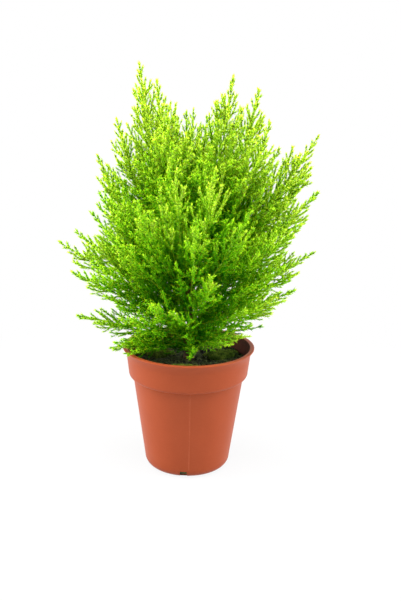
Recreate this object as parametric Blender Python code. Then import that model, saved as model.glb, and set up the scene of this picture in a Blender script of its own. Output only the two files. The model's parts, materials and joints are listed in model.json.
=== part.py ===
"""Potted lemon cypress: a nursery pot, its root ball and moss, a short trunk and the leafy shoots on it.

Metres, +Z up. The origin is the middle of the pot's flat underside, and -Y is the side seen from the front.
Each shoot is one closed plume: a thin stem that leaves the trunk, swells to the foliage's thickness and
tapers to its tip. Shoots lean away from each other, and each swells only until it nearly meets its
neighbours, as crowded foliage does.
"""

import math
from dataclasses import dataclass

import bmesh
import bpy
import numpy as np
from mathutils import Vector

MM = 0.001
GAP = 0.3 * MM  # what touching pieces keep between them

# Pot
POT_HEIGHT = 114.4 * MM
LIP_RADIUS = 60 * MM
LIP_HEIGHT = 1.2 * MM
COLLAR_TOP_RADIUS = 57.3 * MM
COLLAR_FOOT_RADIUS = 54.7 * MM
COLLAR_FOOT_Z = 91.0 * MM
BODY_TOP_RADIUS = 50.6 * MM
BODY_TOP_Z = 86.5 * MM
BASE_RADIUS = 39.5 * MM
BASE_ROUNDING = 8.5 * MM
WALL = 1.3 * MM
MOUTH_CHAMFER = 0.3 * MM
POT_SIDES = 64
ARC_STEPS = 4

# Drain openings: notches through the rounded corner of the base, and holes in its floor between them
DRAIN_COUNT = 4
NOTCH_FIRST_ANGLE = math.radians(-94)
NOTCH_SIZE = (9 * MM, 6.5 * MM, 14 * MM)  # along the radius, across it, and up
NOTCH_RADIUS = 37 * MM
HOLE_RADIUS = 3.5 * MM
HOLE_CIRCLE_RADIUS = 22 * MM
HOLE_SIDES = 16

# Root ball and moss
SOIL_TOP_Z = 103 * MM
SOIL_SIDES = 48
SOIL_EDGE = 1.5 * MM  # the soil's rounded edge against the wall
SOCKET_DEPTH = 14 * MM
MOSS_SIDES = 20
MOSS_RINGS = 5
MOSS_WAVES = (0.12, 0.06)  # how wavy a cushion's edge is, for three waves and for five

# Trunk
TRUNK_FOOT_RADIUS = 4.6 * MM
TRUNK_TOP_RADIUS = 1.5 * MM
TRUNK_TOP_Z = 210 * MM
TRUNK_SIDES = 12
TRUNK_RINGS = 12
TRUNK_BEND = 1.6 * MM

# Shoots
SHOOT_SIDES = 6
SHOOT_RINGS = 10
ROUTE_POINTS = 25
FINE_POINTS = 6 * ROUTE_POINTS
LOWEST_JOINT_Z = 115 * MM  # where the lowest shoot leaves the trunk
JOINT_RISE = 0.31  # how much higher a shoot joins the trunk for each unit that its tip is higher
STEM_RADIUS = 0.8 * MM
FOLIAGE_RADIUS = 9.5 * MM
TIP_RADIUS = 2.2 * MM
LEAST_RADIUS = 0.2 * MM
BARE_SHARE = 0.10  # of a shoot's length, next to the trunk
FULL_SHARE = 0.45  # where the foliage is thickest
SLENDERNESS = 0.09  # the foliage's radius on a short shoot, as a share of its length
# Where a shoot's bend lies: its distance out as a share of the reach, and its height as a share of the rise.
# Each has its value on a middling slope, and how much that changes on a steep or a flat one.
BULGE = (0.55, 0.16)
LIFT = (0.40, 0.06)
NEIGHBOUR_SHARE = 0.47  # of the way to the nearest other shoot
SPREADING_PASSES = 160
SPREADING_STEP = 0.25
SMOOTHING_STEP = 0.20
JOINT_HOLD = 0.15  # the share of a route next to its joint that barely moves
TIP_HOLD = 0.25  # the same next to its tip
TIP_FREEDOM = 0.12
RING_REFERENCE = Vector((0.31, -0.95, 0.05))  # rings start on the side that this direction gives


@dataclass(frozen=True)
class Tip:
    """Where a shoot ends: its compass angle round the pot's axis, its distance from that axis and its height.

    Angles are in degrees, 0 to the right (+X), 90 to the back (+Y) and 270 to the front. Lengths are in mm.
    """

    angle: float
    reach: float
    height: float

    def place(self) -> np.ndarray:
        turn = math.radians(self.angle)
        return np.array(
            [self.reach * math.cos(turn), self.reach * math.sin(turn), self.height]
        ) * MM


LEADERS = (
    Tip(180, 45, 361),
    Tip(144, 39, 348),
    Tip(223, 29, 328),
    Tip(89, 30, 323),
    Tip(318, 17, 318),
    Tip(4, 34, 352),
    Tip(17, 60, 342),
    Tip(337, 70, 316),
    Tip(67, 58, 321),
    Tip(108, 57, 315),
    Tip(159, 72, 315),
)
SIDE_SHOOTS = (
    Tip(0, 108, 304),
    Tip(352, 110, 258),
    Tip(9, 113, 199),
    Tip(20, 109, 267),
    Tip(335, 102, 234),
    Tip(176, 82, 284),
    Tip(196, 80, 255),
    Tip(183, 86, 235),
    Tip(260, 65, 279),
    Tip(286, 73, 282),
    Tip(305, 84, 248),
    Tip(238, 80, 255),
    Tip(274, 88, 243),
    Tip(219, 86, 226),
    Tip(56, 88, 273),
    Tip(89, 88, 267),
    Tip(128, 81, 274),
    Tip(41, 101, 225),
    Tip(75, 99, 214),
    Tip(110, 98, 229),
    Tip(148, 98, 263),
)
LOW_SHOOTS = (
    Tip(181, 115, 208),
    Tip(164, 110, 212),
    Tip(196, 105, 188),
    Tip(177, 103, 139),
    Tip(207, 72, 126),
    Tip(227, 81, 155),
    Tip(249, 83, 172),
    Tip(259, 71, 164),
    Tip(283, 84, 198),
    Tip(272, 50, 119),
    Tip(313, 74, 141),
    Tip(324, 97, 173),
    Tip(345, 95, 174),
    Tip(22, 91, 156),
    Tip(356, 66, 135),
    Tip(39, 97, 161),
    Tip(70, 91, 149),
    Tip(102, 95, 164),
    Tip(132, 89, 152),
    Tip(148, 101, 198),
)
SHOOT_GROUPS = {"leader": LEADERS, "side_shoot": SIDE_SHOOTS, "low_shoot": LOW_SHOOTS}


@dataclass(frozen=True)
class Moss:
    """One cushion of moss on the soil: its oval foot's middle, half widths and turn, and its height."""

    name: str
    middle: tuple
    half_widths: tuple
    turn: float
    height: float


MOSS_CUSHIONS = (
    Moss("moss_right", (30 * MM, 8 * MM), (17 * MM, 10 * MM), math.radians(20), 3.2 * MM),
    Moss("moss_left", (-29 * MM, 12 * MM), (16 * MM, 11 * MM), math.radians(-30), 3.0 * MM),
    Moss("moss_front", (-6 * MM, -33 * MM), (18 * MM, 9 * MM), math.radians(5), 2.8 * MM),
)


def clear_scene():
    for obj in list(bpy.data.objects):
        bpy.data.objects.remove(obj, do_unlink=True)


def make_material(name, colour, roughness):
    material = bpy.data.materials.new(name)
    material.use_nodes = True
    shader = material.node_tree.nodes["Principled BSDF"]
    shader.inputs["Base Color"].default_value = (*colour, 1.0)
    shader.inputs["Roughness"].default_value = roughness
    shader.inputs["Metallic"].default_value = 0.0
    return material


def object_from(name, mesh_builder, material):
    """A new object whose mesh is the given bmesh, with its faces turned outwards and shaded smooth."""
    bmesh.ops.recalc_face_normals(mesh_builder, faces=mesh_builder.faces)
    mesh = bpy.data.meshes.new(name)
    mesh_builder.to_mesh(mesh)
    mesh_builder.free()
    mesh.shade_smooth()
    mesh.set_sharp_from_angle(angle=math.radians(40))
    obj = bpy.data.objects.new(name, mesh)
    bpy.context.scene.collection.objects.link(obj)
    if material is not None:
        mesh.materials.append(material)
    return obj


def turned(profile, sides):
    """A closed turned body. The profile runs from the axis round the section and back to the axis."""
    built = bmesh.new()
    rings = []
    for radius, height in profile:
        if radius < 1e-9:
            rings.append([built.verts.new((0, 0, height))])
            continue
        turns = (2 * math.pi * side / sides for side in range(sides))
        rings.append([built.verts.new(on_circle(radius, turn, height)) for turn in turns])
    bridge(built, rings)
    return built


def bridge(built, rings):
    """Faces between each ring of points and the next. A ring of one point is an apex."""
    for lower, upper in zip(rings, rings[1:]):
        sides = max(len(lower), len(upper))
        for side in range(sides):
            after = (side + 1) % sides
            if len(lower) == 1:
                built.faces.new((lower[0], upper[after], upper[side]))
            elif len(upper) == 1:
                built.faces.new((lower[side], lower[after], upper[0]))
            else:
                built.faces.new((lower[side], lower[after], upper[after], upper[side]))


def arc(middle, radii, start, end, steps):
    """Points on a quarter of an ellipse, from one angle to another, both ends included."""
    angles = (start + (end - start) * step / steps for step in range(steps + 1))
    return [
        (middle[0] + radii[0] * math.cos(t), middle[1] + radii[1] * math.sin(t)) for t in angles
    ]


def pot_outside():
    """The outer profile from the middle of the underside up to the lip's outer edge."""
    corner = arc(
        (BASE_RADIUS - BASE_ROUNDING, BASE_ROUNDING),
        (BASE_ROUNDING, BASE_ROUNDING),
        -math.pi / 2,
        0,
        ARC_STEPS,
    )
    step = arc(
        (BODY_TOP_RADIUS, COLLAR_FOOT_Z),
        (COLLAR_FOOT_RADIUS - BODY_TOP_RADIUS, BODY_TOP_Z - COLLAR_FOOT_Z),
        math.pi / 2,
        0,
        ARC_STEPS,
    )
    lip = [
        (COLLAR_TOP_RADIUS, POT_HEIGHT - LIP_HEIGHT),
        (LIP_RADIUS, POT_HEIGHT - 0.7 * LIP_HEIGHT),
        (LIP_RADIUS, POT_HEIGHT - 0.2 * LIP_HEIGHT),
        (LIP_RADIUS - 0.2 * LIP_HEIGHT, POT_HEIGHT),
    ]
    return [(0, 0)] + corner + step + lip


def pot_inside():
    """The inner profile from the lip's inner edge down to the middle of the floor."""
    step = arc(
        (BODY_TOP_RADIUS - WALL, COLLAR_FOOT_Z + WALL),
        (COLLAR_FOOT_RADIUS - BODY_TOP_RADIUS, BODY_TOP_Z - COLLAR_FOOT_Z),
        0,
        math.pi / 2,
        ARC_STEPS,
    )
    corner = arc(
        (BASE_RADIUS - BASE_ROUNDING, BASE_ROUNDING),
        (BASE_ROUNDING - WALL, BASE_ROUNDING - WALL),
        0,
        -math.pi / 2,
        ARC_STEPS,
    )
    lip = [
        (COLLAR_TOP_RADIUS - WALL + MOUTH_CHAMFER, POT_HEIGHT),
        (COLLAR_TOP_RADIUS - WALL, POT_HEIGHT - LIP_HEIGHT),
    ]
    return lip + step + corner + [(0, WALL)]


def box_cutter(name, size, place, turn):
    built = bmesh.new()
    bmesh.ops.create_cube(built, size=1.0)
    bmesh.ops.scale(built, vec=size, verts=built.verts)
    cutter = object_from(name, built, None)
    cutter.location = place
    cutter.rotation_euler = (0, 0, turn)
    return cutter


def round_cutter(name, radius, depth, place):
    built = bmesh.new()
    bmesh.ops.create_cone(
        built, cap_ends=True, segments=HOLE_SIDES, radius1=radius, radius2=radius, depth=depth
    )
    cutter = object_from(name, built, None)
    cutter.location = place
    return cutter


def cut(obj, cutter):
    cutter.hide_render = True
    cutter.display_type = "WIRE"
    modifier = obj.modifiers.new(cutter.name, "BOOLEAN")
    modifier.operation = "DIFFERENCE"
    modifier.object = cutter


def on_circle(radius, angle, height):
    return (radius * math.cos(angle), radius * math.sin(angle), height)


def build_pot(material):
    pot = object_from("pot", turned(pot_outside() + pot_inside(), POT_SIDES), material)
    for index in range(DRAIN_COUNT):
        angle = NOTCH_FIRST_ANGLE + 2 * math.pi * index / DRAIN_COUNT
        notch_place = on_circle(NOTCH_RADIUS, angle, 0)
        cut(pot, box_cutter(f"drain_notch_cutter_{index}", NOTCH_SIZE, notch_place, angle))
        between = angle + math.pi / DRAIN_COUNT
        hole_place = on_circle(HOLE_CIRCLE_RADIUS, between, WALL / 2)
        cut(pot, round_cutter(f"drain_hole_cutter_{index}", HOLE_RADIUS, 4 * WALL, hole_place))
    return pot


def trunk_radius(height):
    foot = SOIL_TOP_Z - SOCKET_DEPTH
    share = (height - foot) / (TRUNK_TOP_Z - foot)
    return TRUNK_FOOT_RADIUS + (TRUNK_TOP_RADIUS - TRUNK_FOOT_RADIUS) * share**0.8


def trunk_axis(height):
    """The middle of the trunk at a height: straight in the soil, then one slow bend each way."""
    rise = max(height - SOIL_TOP_Z, 0)
    turn = 2 * math.pi * rise / (TRUNK_TOP_Z - SOIL_TOP_Z)
    return np.array([TRUNK_BEND * math.sin(turn), TRUNK_BEND * (1 - math.cos(turn)) / 2, height])


def build_root_ball(material):
    """Potting mix pressed to the pot's inside, with a socket that the trunk's foot stands in."""
    clear = WALL + GAP
    corner = arc(
        (BASE_RADIUS - BASE_ROUNDING, BASE_ROUNDING),
        (BASE_ROUNDING - clear, BASE_ROUNDING - clear),
        -math.pi / 2,
        0,
        ARC_STEPS,
    )
    shoulder = arc(
        (BODY_TOP_RADIUS - clear, COLLAR_FOOT_Z + clear),
        (COLLAR_FOOT_RADIUS - BODY_TOP_RADIUS, BODY_TOP_Z - COLLAR_FOOT_Z),
        math.pi / 2,
        0,
        ARC_STEPS,
    )
    collar_slope = (COLLAR_TOP_RADIUS - COLLAR_FOOT_RADIUS) / (POT_HEIGHT - COLLAR_FOOT_Z)
    top_radius = COLLAR_FOOT_RADIUS - clear + collar_slope * (SOIL_TOP_Z - COLLAR_FOOT_Z - clear)
    edge = [(top_radius - GAP, SOIL_TOP_Z - SOIL_EDGE), (top_radius - SOIL_EDGE, SOIL_TOP_Z)]
    socket_radius = TRUNK_FOOT_RADIUS + GAP
    floor = SOIL_TOP_Z - SOCKET_DEPTH - GAP
    socket = [(socket_radius, SOIL_TOP_Z), (socket_radius, floor), (0, floor)]
    profile = [(0, clear)] + corner + shoulder + edge + socket
    return object_from("root_ball", turned(profile, SOIL_SIDES), material)


def build_moss(cushion, material):
    """A low oval dome with a wavy edge, standing on the soil."""
    built = bmesh.new()
    foot = SOIL_TOP_Z + GAP
    rings = []
    for ring in range(MOSS_RINGS):
        lift = math.sin(math.pi / 2 * ring / MOSS_RINGS)
        width = math.cos(math.pi / 2 * ring / MOSS_RINGS)
        points = []
        for side in range(MOSS_SIDES):
            angle = 2 * math.pi * side / MOSS_SIDES
            wave = 1 + MOSS_WAVES[0] * math.sin(3 * angle + cushion.turn)
            wave += MOSS_WAVES[1] * math.sin(5 * angle)
            along = cushion.half_widths[0] * width * wave * math.cos(angle)
            across = cushion.half_widths[1] * width * wave * math.sin(angle)
            x = cushion.middle[0] + along * math.cos(cushion.turn) - across * math.sin(cushion.turn)
            y = cushion.middle[1] + along * math.sin(cushion.turn) + across * math.cos(cushion.turn)
            points.append(built.verts.new((x, y, foot + cushion.height * lift)))
        rings.append(points)
    top = built.verts.new((*cushion.middle, foot + cushion.height))
    bridge(built, rings + [[top]])
    built.faces.new(rings[0])
    return object_from(cushion.name, built, material)


def tube(built, middles, radii, sides):
    """A closed tube along a route, with rings across its direction and an apex at each end."""
    middles = np.asarray(middles)
    along = np.gradient(middles, axis=0)
    rings = [[built.verts.new(middles[0])]]
    for middle, direction, radius in zip(middles[1:-1], along[1:-1], radii[1:-1]):
        forward = Vector(direction).normalized()
        across = forward.cross(RING_REFERENCE).normalized()
        other = forward.cross(across)
        ring = []
        for side in range(sides):
            turn = 2 * math.pi * side / sides
            offset = across * math.cos(turn) + other * math.sin(turn)
            ring.append(built.verts.new(Vector(middle) + offset * radius))
        rings.append(ring)
    rings.append([built.verts.new(middles[-1])])
    bridge(built, rings)


def build_trunk(material):
    foot = SOIL_TOP_Z - SOCKET_DEPTH
    heights = np.linspace(foot, TRUNK_TOP_Z, TRUNK_RINGS)
    heights = np.concatenate([[foot], heights, [TRUNK_TOP_Z + TRUNK_TOP_RADIUS]])
    middles = [trunk_axis(min(z, TRUNK_TOP_Z)) * (1, 1, 0) + (0, 0, z) for z in heights]
    built = bmesh.new()
    rings = [[built.verts.new(middles[0])]]
    for middle in middles[1:-1]:
        radius = trunk_radius(middle[2])
        turns = (2 * math.pi * side / TRUNK_SIDES for side in range(TRUNK_SIDES))
        rings.append([built.verts.new(Vector(middle) + Vector(on_circle(radius, t, 0))) for t in turns])
    rings.append([built.verts.new(middles[-1])])
    bridge(built, rings)
    return object_from("trunk", built, material)


def first_route(tip):
    """A shoot's route before its neighbours push it: out of the trunk's side, then bending up to its tip."""
    end = tip.place()
    joint_z = LOWEST_JOINT_Z + JOINT_RISE * (end[2] - LOWEST_JOINT_Z)
    joint_z = min(joint_z, TRUNK_TOP_Z - 4 * MM)
    outward = np.array(on_circle(1.0, math.radians(tip.angle), 0.0))
    start = trunk_axis(joint_z) + outward * (trunk_radius(joint_z) + GAP)
    steepness = (end[2] - start[2]) / (tip.reach * MM)
    bulge = BULGE[0] + BULGE[1] * math.tanh(steepness - 1)
    lift = LIFT[0] - LIFT[1] * math.tanh(steepness - 1)
    bend = start + outward * bulge * tip.reach * MM + np.array([0, 0, lift * (end[2] - start[2])])
    share = np.linspace(0, 1, ROUTE_POINTS)[:, None]
    return (1 - share) ** 2 * start + 2 * share * (1 - share) * bend + share**2 * end


def wanted_radii(length):
    """How thick a shoot's foliage would be with no neighbours: a bare stem, a full middle and a tip."""
    share = np.linspace(0, 1, ROUTE_POINTS)
    filling = np.clip((share - BARE_SHARE) / (FULL_SHARE - BARE_SHARE), 0, 1)
    filling = filling * filling * (3 - 2 * filling)
    closing = np.sqrt(1 - ((share - FULL_SHARE) / (1 - FULL_SHARE)).clip(0, 1) ** 2)
    full = min(FOLIAGE_RADIUS, SLENDERNESS * length + TIP_RADIUS)
    return STEM_RADIUS + (full - STEM_RADIUS) * filling * closing + TIP_RADIUS * share * (1 - closing)


def room_around(points):
    """How far each point is from the pot's lip, the soil and its moss, and the trunk."""
    from_axis = np.hypot(points[..., 0], points[..., 1])
    from_lip = np.hypot(from_axis - (LIP_RADIUS - WALL), points[..., 2] - POT_HEIGHT + LIP_HEIGHT / 2)
    moss_top = SOIL_TOP_Z + max(cushion.height for cushion in MOSS_CUSHIONS) + GAP
    from_soil = np.where(from_axis < LIP_RADIUS, points[..., 2] - moss_top, 1.0)
    within = np.clip(points[..., 2], SOIL_TOP_Z, TRUNK_TOP_Z)
    axis = np.array([trunk_axis(z) for z in within.ravel()]).reshape(points.shape)
    surface = np.array([trunk_radius(z) for z in within.ravel()]).reshape(within.shape)
    from_trunk = np.linalg.norm(points - axis, axis=-1) - surface
    return np.minimum(np.minimum(from_lip - LIP_HEIGHT, from_soil), from_trunk) - GAP


def away_from_others(routes, wanted):
    """The push on each point from the points of other shoots that are nearer than their foliage needs."""
    count, length = routes.shape[:2]
    flat = routes.reshape(-1, 3)
    owner = np.repeat(np.arange(count), length)
    need = wanted.reshape(-1)
    apart = flat[:, None] - flat[None]
    distance = np.linalg.norm(apart, axis=-1) + 1e-9
    short = np.clip(need[:, None] + need[None] - distance, 0, None)
    short[owner[:, None] == owner[None]] = 0
    push = (apart / distance[..., None] * short[..., None]).sum(axis=1)
    touching = np.maximum((short > 0).sum(axis=1), 1)
    return (push / touching[:, None]).reshape(routes.shape)


def spread_apart(routes, wanted):
    """Bends the routes until their foliage has room, holding each joint and nearly holding each tip."""
    share = np.linspace(0, 1, ROUTE_POINTS)
    freedom = np.clip(share / JOINT_HOLD, 0, 1) * np.clip((1 - share) / TIP_HOLD + TIP_FREEDOM, 0, 1)
    freedom = freedom[None, :, None]
    for _ in range(SPREADING_PASSES):
        routes = routes + SPREADING_STEP * freedom * away_from_others(routes, wanted)
        evened = (routes[:, :-2] + routes[:, 2:]) / 2 - routes[:, 1:-1]
        routes[:, 1:-1] += SMOOTHING_STEP * evened * freedom[:, 1:-1]
    return routes


def room_between(routes):
    """How far each point is from the nearest other shoot, measured along finely divided routes."""
    count = len(routes)
    fine = np.stack([resampled(route, FINE_POINTS) for route in routes])
    nearest = np.empty(routes.shape[:2])
    for index in range(count):
        others = np.delete(fine, index, axis=0).reshape(-1, 3)
        nearest[index] = np.linalg.norm(routes[index][:, None] - others[None], axis=-1).min(axis=1)
    return nearest


def resampled(values, count):
    before = np.linspace(0, 1, len(values))
    after = np.linspace(0, 1, count)
    if values.ndim == 1:
        return np.interp(after, before, values)
    return np.stack([np.interp(after, before, column) for column in values.T], axis=1)


def route_length(route):
    return float(np.linalg.norm(np.diff(route, axis=0), axis=1).sum())


def build_shoots(material):
    names = [
        f"{group}_{index:02d}"
        for group, tips in SHOOT_GROUPS.items()
        for index in range(1, len(tips) + 1)
    ]
    tips = [tip for group in SHOOT_GROUPS.values() for tip in group]
    routes = np.stack([first_route(tip) for tip in tips])
    wanted = np.stack([wanted_radii(route_length(route)) for route in routes])
    routes = spread_apart(routes, wanted)
    routes = np.stack([resampled(route, SHOOT_RINGS + 2) for route in routes])
    fine = np.stack([resampled(route, ROUTE_POINTS) for route in routes])
    radii = np.minimum(wanted, NEIGHBOUR_SHARE * room_between(fine))
    radii = np.minimum(radii, np.maximum(room_around(fine), LEAST_RADIUS))
    for name, route, radius in zip(names, routes, radii):
        built = bmesh.new()
        at_rings = least_near(radius, SHOOT_RINGS + 2)
        tube(built, route, at_rings, SHOOT_SIDES)
        object_from(name, built, material)


def least_near(radius, count):
    """The least radius near each ring, so that the straight sides between rings stay inside it."""
    spread = max(1, round(len(radius) / (count - 1)))
    padded = np.pad(radius, spread, mode="edge")
    windows = np.stack([padded[shift : shift + len(radius)] for shift in range(2 * spread + 1)])
    return resampled(windows[spread // 2 : 2 * spread + 1 - spread // 2].min(axis=0), count)


def main():
    clear_scene()
    bpy.context.scene.unit_settings.scale_length = 1.0
    terracotta = make_material("terracotta_plastic", (0.43, 0.095, 0.045), 0.42)
    potting_mix = make_material("potting_mix", (0.030, 0.020, 0.012), 0.95)
    moss = make_material("moss", (0.055, 0.085, 0.015), 0.95)
    bark = make_material("bark", (0.090, 0.050, 0.025), 0.85)
    foliage = make_material("foliage", (0.22, 0.45, 0.02), 0.60)
    build_pot(terracotta)
    build_root_ball(potting_mix)
    for cushion in MOSS_CUSHIONS:
        build_moss(cushion, moss)
    build_trunk(bark)
    build_shoots(foliage)


if __name__ == "__main__":
    main()
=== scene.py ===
"""Looks of a potted lemon cypress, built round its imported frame.

The frame gives each shoot as a plain plume. Here every plume is grown again as real foliage: a stem, side
branchlets in crossed pairs, fine twigs on those, and small awl-shaped leaves on them all. The pot, the soil,
the moss and the trunk are turned, pushed and furred surfaces. Everything is worked out as whole numpy arrays.
"""

import json
import logging
import math
from dataclasses import dataclass, field
from enum import Enum

import bpy
import numpy as np
from mathutils import Matrix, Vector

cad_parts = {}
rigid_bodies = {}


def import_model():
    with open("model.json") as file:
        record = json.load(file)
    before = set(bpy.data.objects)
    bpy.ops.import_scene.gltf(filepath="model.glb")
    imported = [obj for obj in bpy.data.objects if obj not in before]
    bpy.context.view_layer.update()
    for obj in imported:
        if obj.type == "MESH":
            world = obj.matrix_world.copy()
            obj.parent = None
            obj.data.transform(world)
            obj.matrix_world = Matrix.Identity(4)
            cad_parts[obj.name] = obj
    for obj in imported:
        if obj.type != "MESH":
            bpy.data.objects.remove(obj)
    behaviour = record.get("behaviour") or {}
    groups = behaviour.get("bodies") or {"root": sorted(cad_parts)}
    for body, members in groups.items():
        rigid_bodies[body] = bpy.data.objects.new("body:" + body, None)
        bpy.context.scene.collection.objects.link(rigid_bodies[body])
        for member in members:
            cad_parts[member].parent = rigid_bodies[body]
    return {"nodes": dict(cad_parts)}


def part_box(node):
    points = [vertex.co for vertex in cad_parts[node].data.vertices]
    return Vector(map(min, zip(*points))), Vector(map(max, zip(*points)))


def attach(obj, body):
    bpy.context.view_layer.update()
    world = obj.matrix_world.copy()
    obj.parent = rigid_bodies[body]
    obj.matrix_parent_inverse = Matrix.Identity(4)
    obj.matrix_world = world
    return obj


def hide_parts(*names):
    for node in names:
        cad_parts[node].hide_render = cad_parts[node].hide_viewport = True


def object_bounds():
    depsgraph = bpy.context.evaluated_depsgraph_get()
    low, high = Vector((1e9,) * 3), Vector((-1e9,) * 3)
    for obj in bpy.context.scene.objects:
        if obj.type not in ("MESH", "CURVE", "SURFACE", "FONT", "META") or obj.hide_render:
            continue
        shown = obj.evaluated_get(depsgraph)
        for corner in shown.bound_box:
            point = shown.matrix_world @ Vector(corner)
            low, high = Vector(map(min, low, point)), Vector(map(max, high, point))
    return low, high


for leftover in list(bpy.data.objects):
    bpy.data.objects.remove(leftover, do_unlink=True)

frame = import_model()
CAD_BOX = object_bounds()

log = logging.getLogger("lemon_cypress")

Array = np.ndarray
Colour = tuple[float, float, float]
Material = bpy.types.Material
Piece = bpy.types.Object
Socket = bpy.types.NodeSocket

MM = 0.001
TURN = 2 * math.pi
QUARTER = math.pi / 2
UP = np.array([0.0, 0.0, 1.0])
BODY = "root"
LEAF_MAP = "OFBake"
LEAF_BAND = 0.80  # leaves lie below this height on the leaf map, and woody stems above the next one
WOOD_BAND = 0.90


class Slot(Enum):
    """The record's material slots."""

    POT = "pot"
    POTTING_MIX = "potting_mix"
    MOSS = "moss"
    BARK = "bark"
    FOLIAGE = "foliage"


# ---------------------------------------------------------------- numbers and shapes


def unit(vectors: Array) -> Array:
    """Each vector, with x, y and z on the last axis, divided by its length."""
    return vectors / np.maximum(np.linalg.norm(vectors, axis=-1, keepdims=True), 1e-12)


def smooth_step(values: Array, start: float = 0.0, span: float = 1.0) -> Array:
    """Eases 0 to 1 over a span: three times the square less twice the cube, held outside it."""
    held = np.clip((values - start) / span, 0.0, 1.0)
    return held * held * (3.0 - 2.0 * held)


def lumps(points: Array, wavelength: float, seed: int, waves: int = 28) -> Array:
    """Soft bumps in space: a sum of sine waves in random directions, scaled to stay near -1 to 1.

    Args:
        points: Places, with x, y and z on the last axis.
        wavelength: About how far apart the bumps are.
        seed: Picks the pattern.
        waves: How many waves are added.

    Returns:
        One height for each place.
    """
    rng = np.random.default_rng(seed)
    directions = unit(rng.normal(size=(waves, 3)))
    scales = rng.uniform(0.6, 1.7, waves) * TURN / wavelength
    phases = rng.uniform(0.0, TURN, waves)
    turns = points @ (directions * scales[:, None]).T + phases
    return np.sin(turns).sum(axis=-1) * math.sqrt(2.0 / waves) / 1.6


def circle(sides: int) -> Array:
    """Corners on a circle of radius one, anticlockwise from X, as x and y."""
    turns = TURN * np.arange(sides) / sides
    return np.stack([np.cos(turns), np.sin(turns)], axis=1)


def frames_along(tangents: Array, spin: Array) -> tuple[Array, Array]:
    """Two directions across each tangent, turned about it by a spin angle.

    The first is the tangent crossed with whichever of X and Z it is further from. The second is the tangent
    crossed with the first, so that first, second and tangent are right-handed.

    Args:
        tangents: Unit directions, one a row.
        spin: An angle for each row, in radians.

    Returns:
        The two directions.
    """
    upright = np.abs(tangents[..., 2:3]) > 0.9
    first = unit(np.cross(np.where(upright, [1.0, 0.0, 0.0], UP), tangents))
    second = np.cross(tangents, first)
    cosine, sine = np.cos(spin)[..., None], np.sin(spin)[..., None]
    return first * cosine + second * sine, second * cosine - first * sine


def rings_around(middles: Array, tangents: Array, radius: Array, sides: int) -> Array:
    """Rings across a path: each middle plus its radius times a circle across its tangent.

    Args:
        middles: The path's places, one a row.
        tangents: Its unit direction at each.
        radius: The ring's radius at each.
        sides: The corners of a ring.

    Returns:
        The corners, ring by ring.
    """
    first, second = frames_along(tangents, np.zeros(len(middles)))
    ring = circle(sides)
    around = first[:, None] * ring[:, :1] + second[:, None] * ring[:, 1:]
    return middles[:, None] + around * radius[:, None, None]


def turned(radii: Array, heights: Array, sides: int) -> Array:
    """A profile turned about the upright axis: at each height, its radius times a circle.

    Args:
        radii: The profile's distances from the axis.
        heights: Its heights.
        sides: The corners of a ring.

    Returns:
        The places, ring by ring.
    """
    places = np.empty((len(radii), sides, 3))
    places[..., :2] = radii[:, None, None] * circle(sides)
    places[..., 2] = heights[:, None]
    return places


def grid_faces(rows: int, columns: int) -> Array:
    """Four-cornered faces of a grid of places, row by row, whose columns close into a ring.

    With columns running anticlockwise about the direction in which rows climb, the faces point outwards.

    Args:
        rows: How many rings there are.
        columns: How many places a ring has.

    Returns:
        The faces, one row of them after the other.
    """
    row, column = np.meshgrid(np.arange(rows - 1), np.arange(columns), indexing="ij")
    after = (column + 1) % columns
    corners = [row * columns + column, row * columns + after]
    corners += [(row + 1) * columns + after, (row + 1) * columns + column]
    return np.stack([corner.ravel() for corner in corners], axis=1)


def halved(quads: Array) -> Array:
    """Two three-cornered faces for each four-cornered one."""
    return np.concatenate([quads[:, [0, 1, 2]], quads[:, [0, 2, 3]]])


def fan_faces(ring: Array, centre: int, outward: bool) -> Array:
    """Three-cornered faces from a ring of places to one more place, which closes a pole.

    Args:
        ring: The ring's row numbers, in order.
        centre: The pole's row number.
        outward: True if the pole lies on the side that the ring runs anticlockwise about.

    Returns:
        The faces.
    """
    after, middle = np.roll(ring, -1), np.full(len(ring), centre)
    return np.stack([ring, after, middle] if outward else [after, ring, middle], axis=1)


def end_fans(rows: int, columns: int, poles: tuple[int, int] | None = None) -> tuple[Array, Array]:
    """The fans that close both ends of a grid of rings.

    Args:
        rows: How many rings there are.
        columns: How many places a ring has.
        poles: The lower and the upper pole's row number. Without them, they follow the grid in that order.

    Returns:
        The lower fan and the upper one.
    """
    count, ring = rows * columns, np.arange(columns)
    foot, head = poles or (count, count + 1)
    return fan_faces(ring, foot, False), fan_faces(ring + count - columns, head, True)


def closed_faces(rows: int, columns: int) -> Array:
    """Three-cornered faces of a grid closed by two poles, whose places follow the grid's, the lower first."""
    return np.concatenate([halved(grid_faces(rows, columns)), *end_fans(rows, columns)])


def repeated(pattern: Array, count: int, places: int) -> Array:
    """The same faces for each of a number of copies with that many places each."""
    return (pattern + (np.arange(count) * places)[:, None, None]).reshape(-1, pattern.shape[1])


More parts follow.
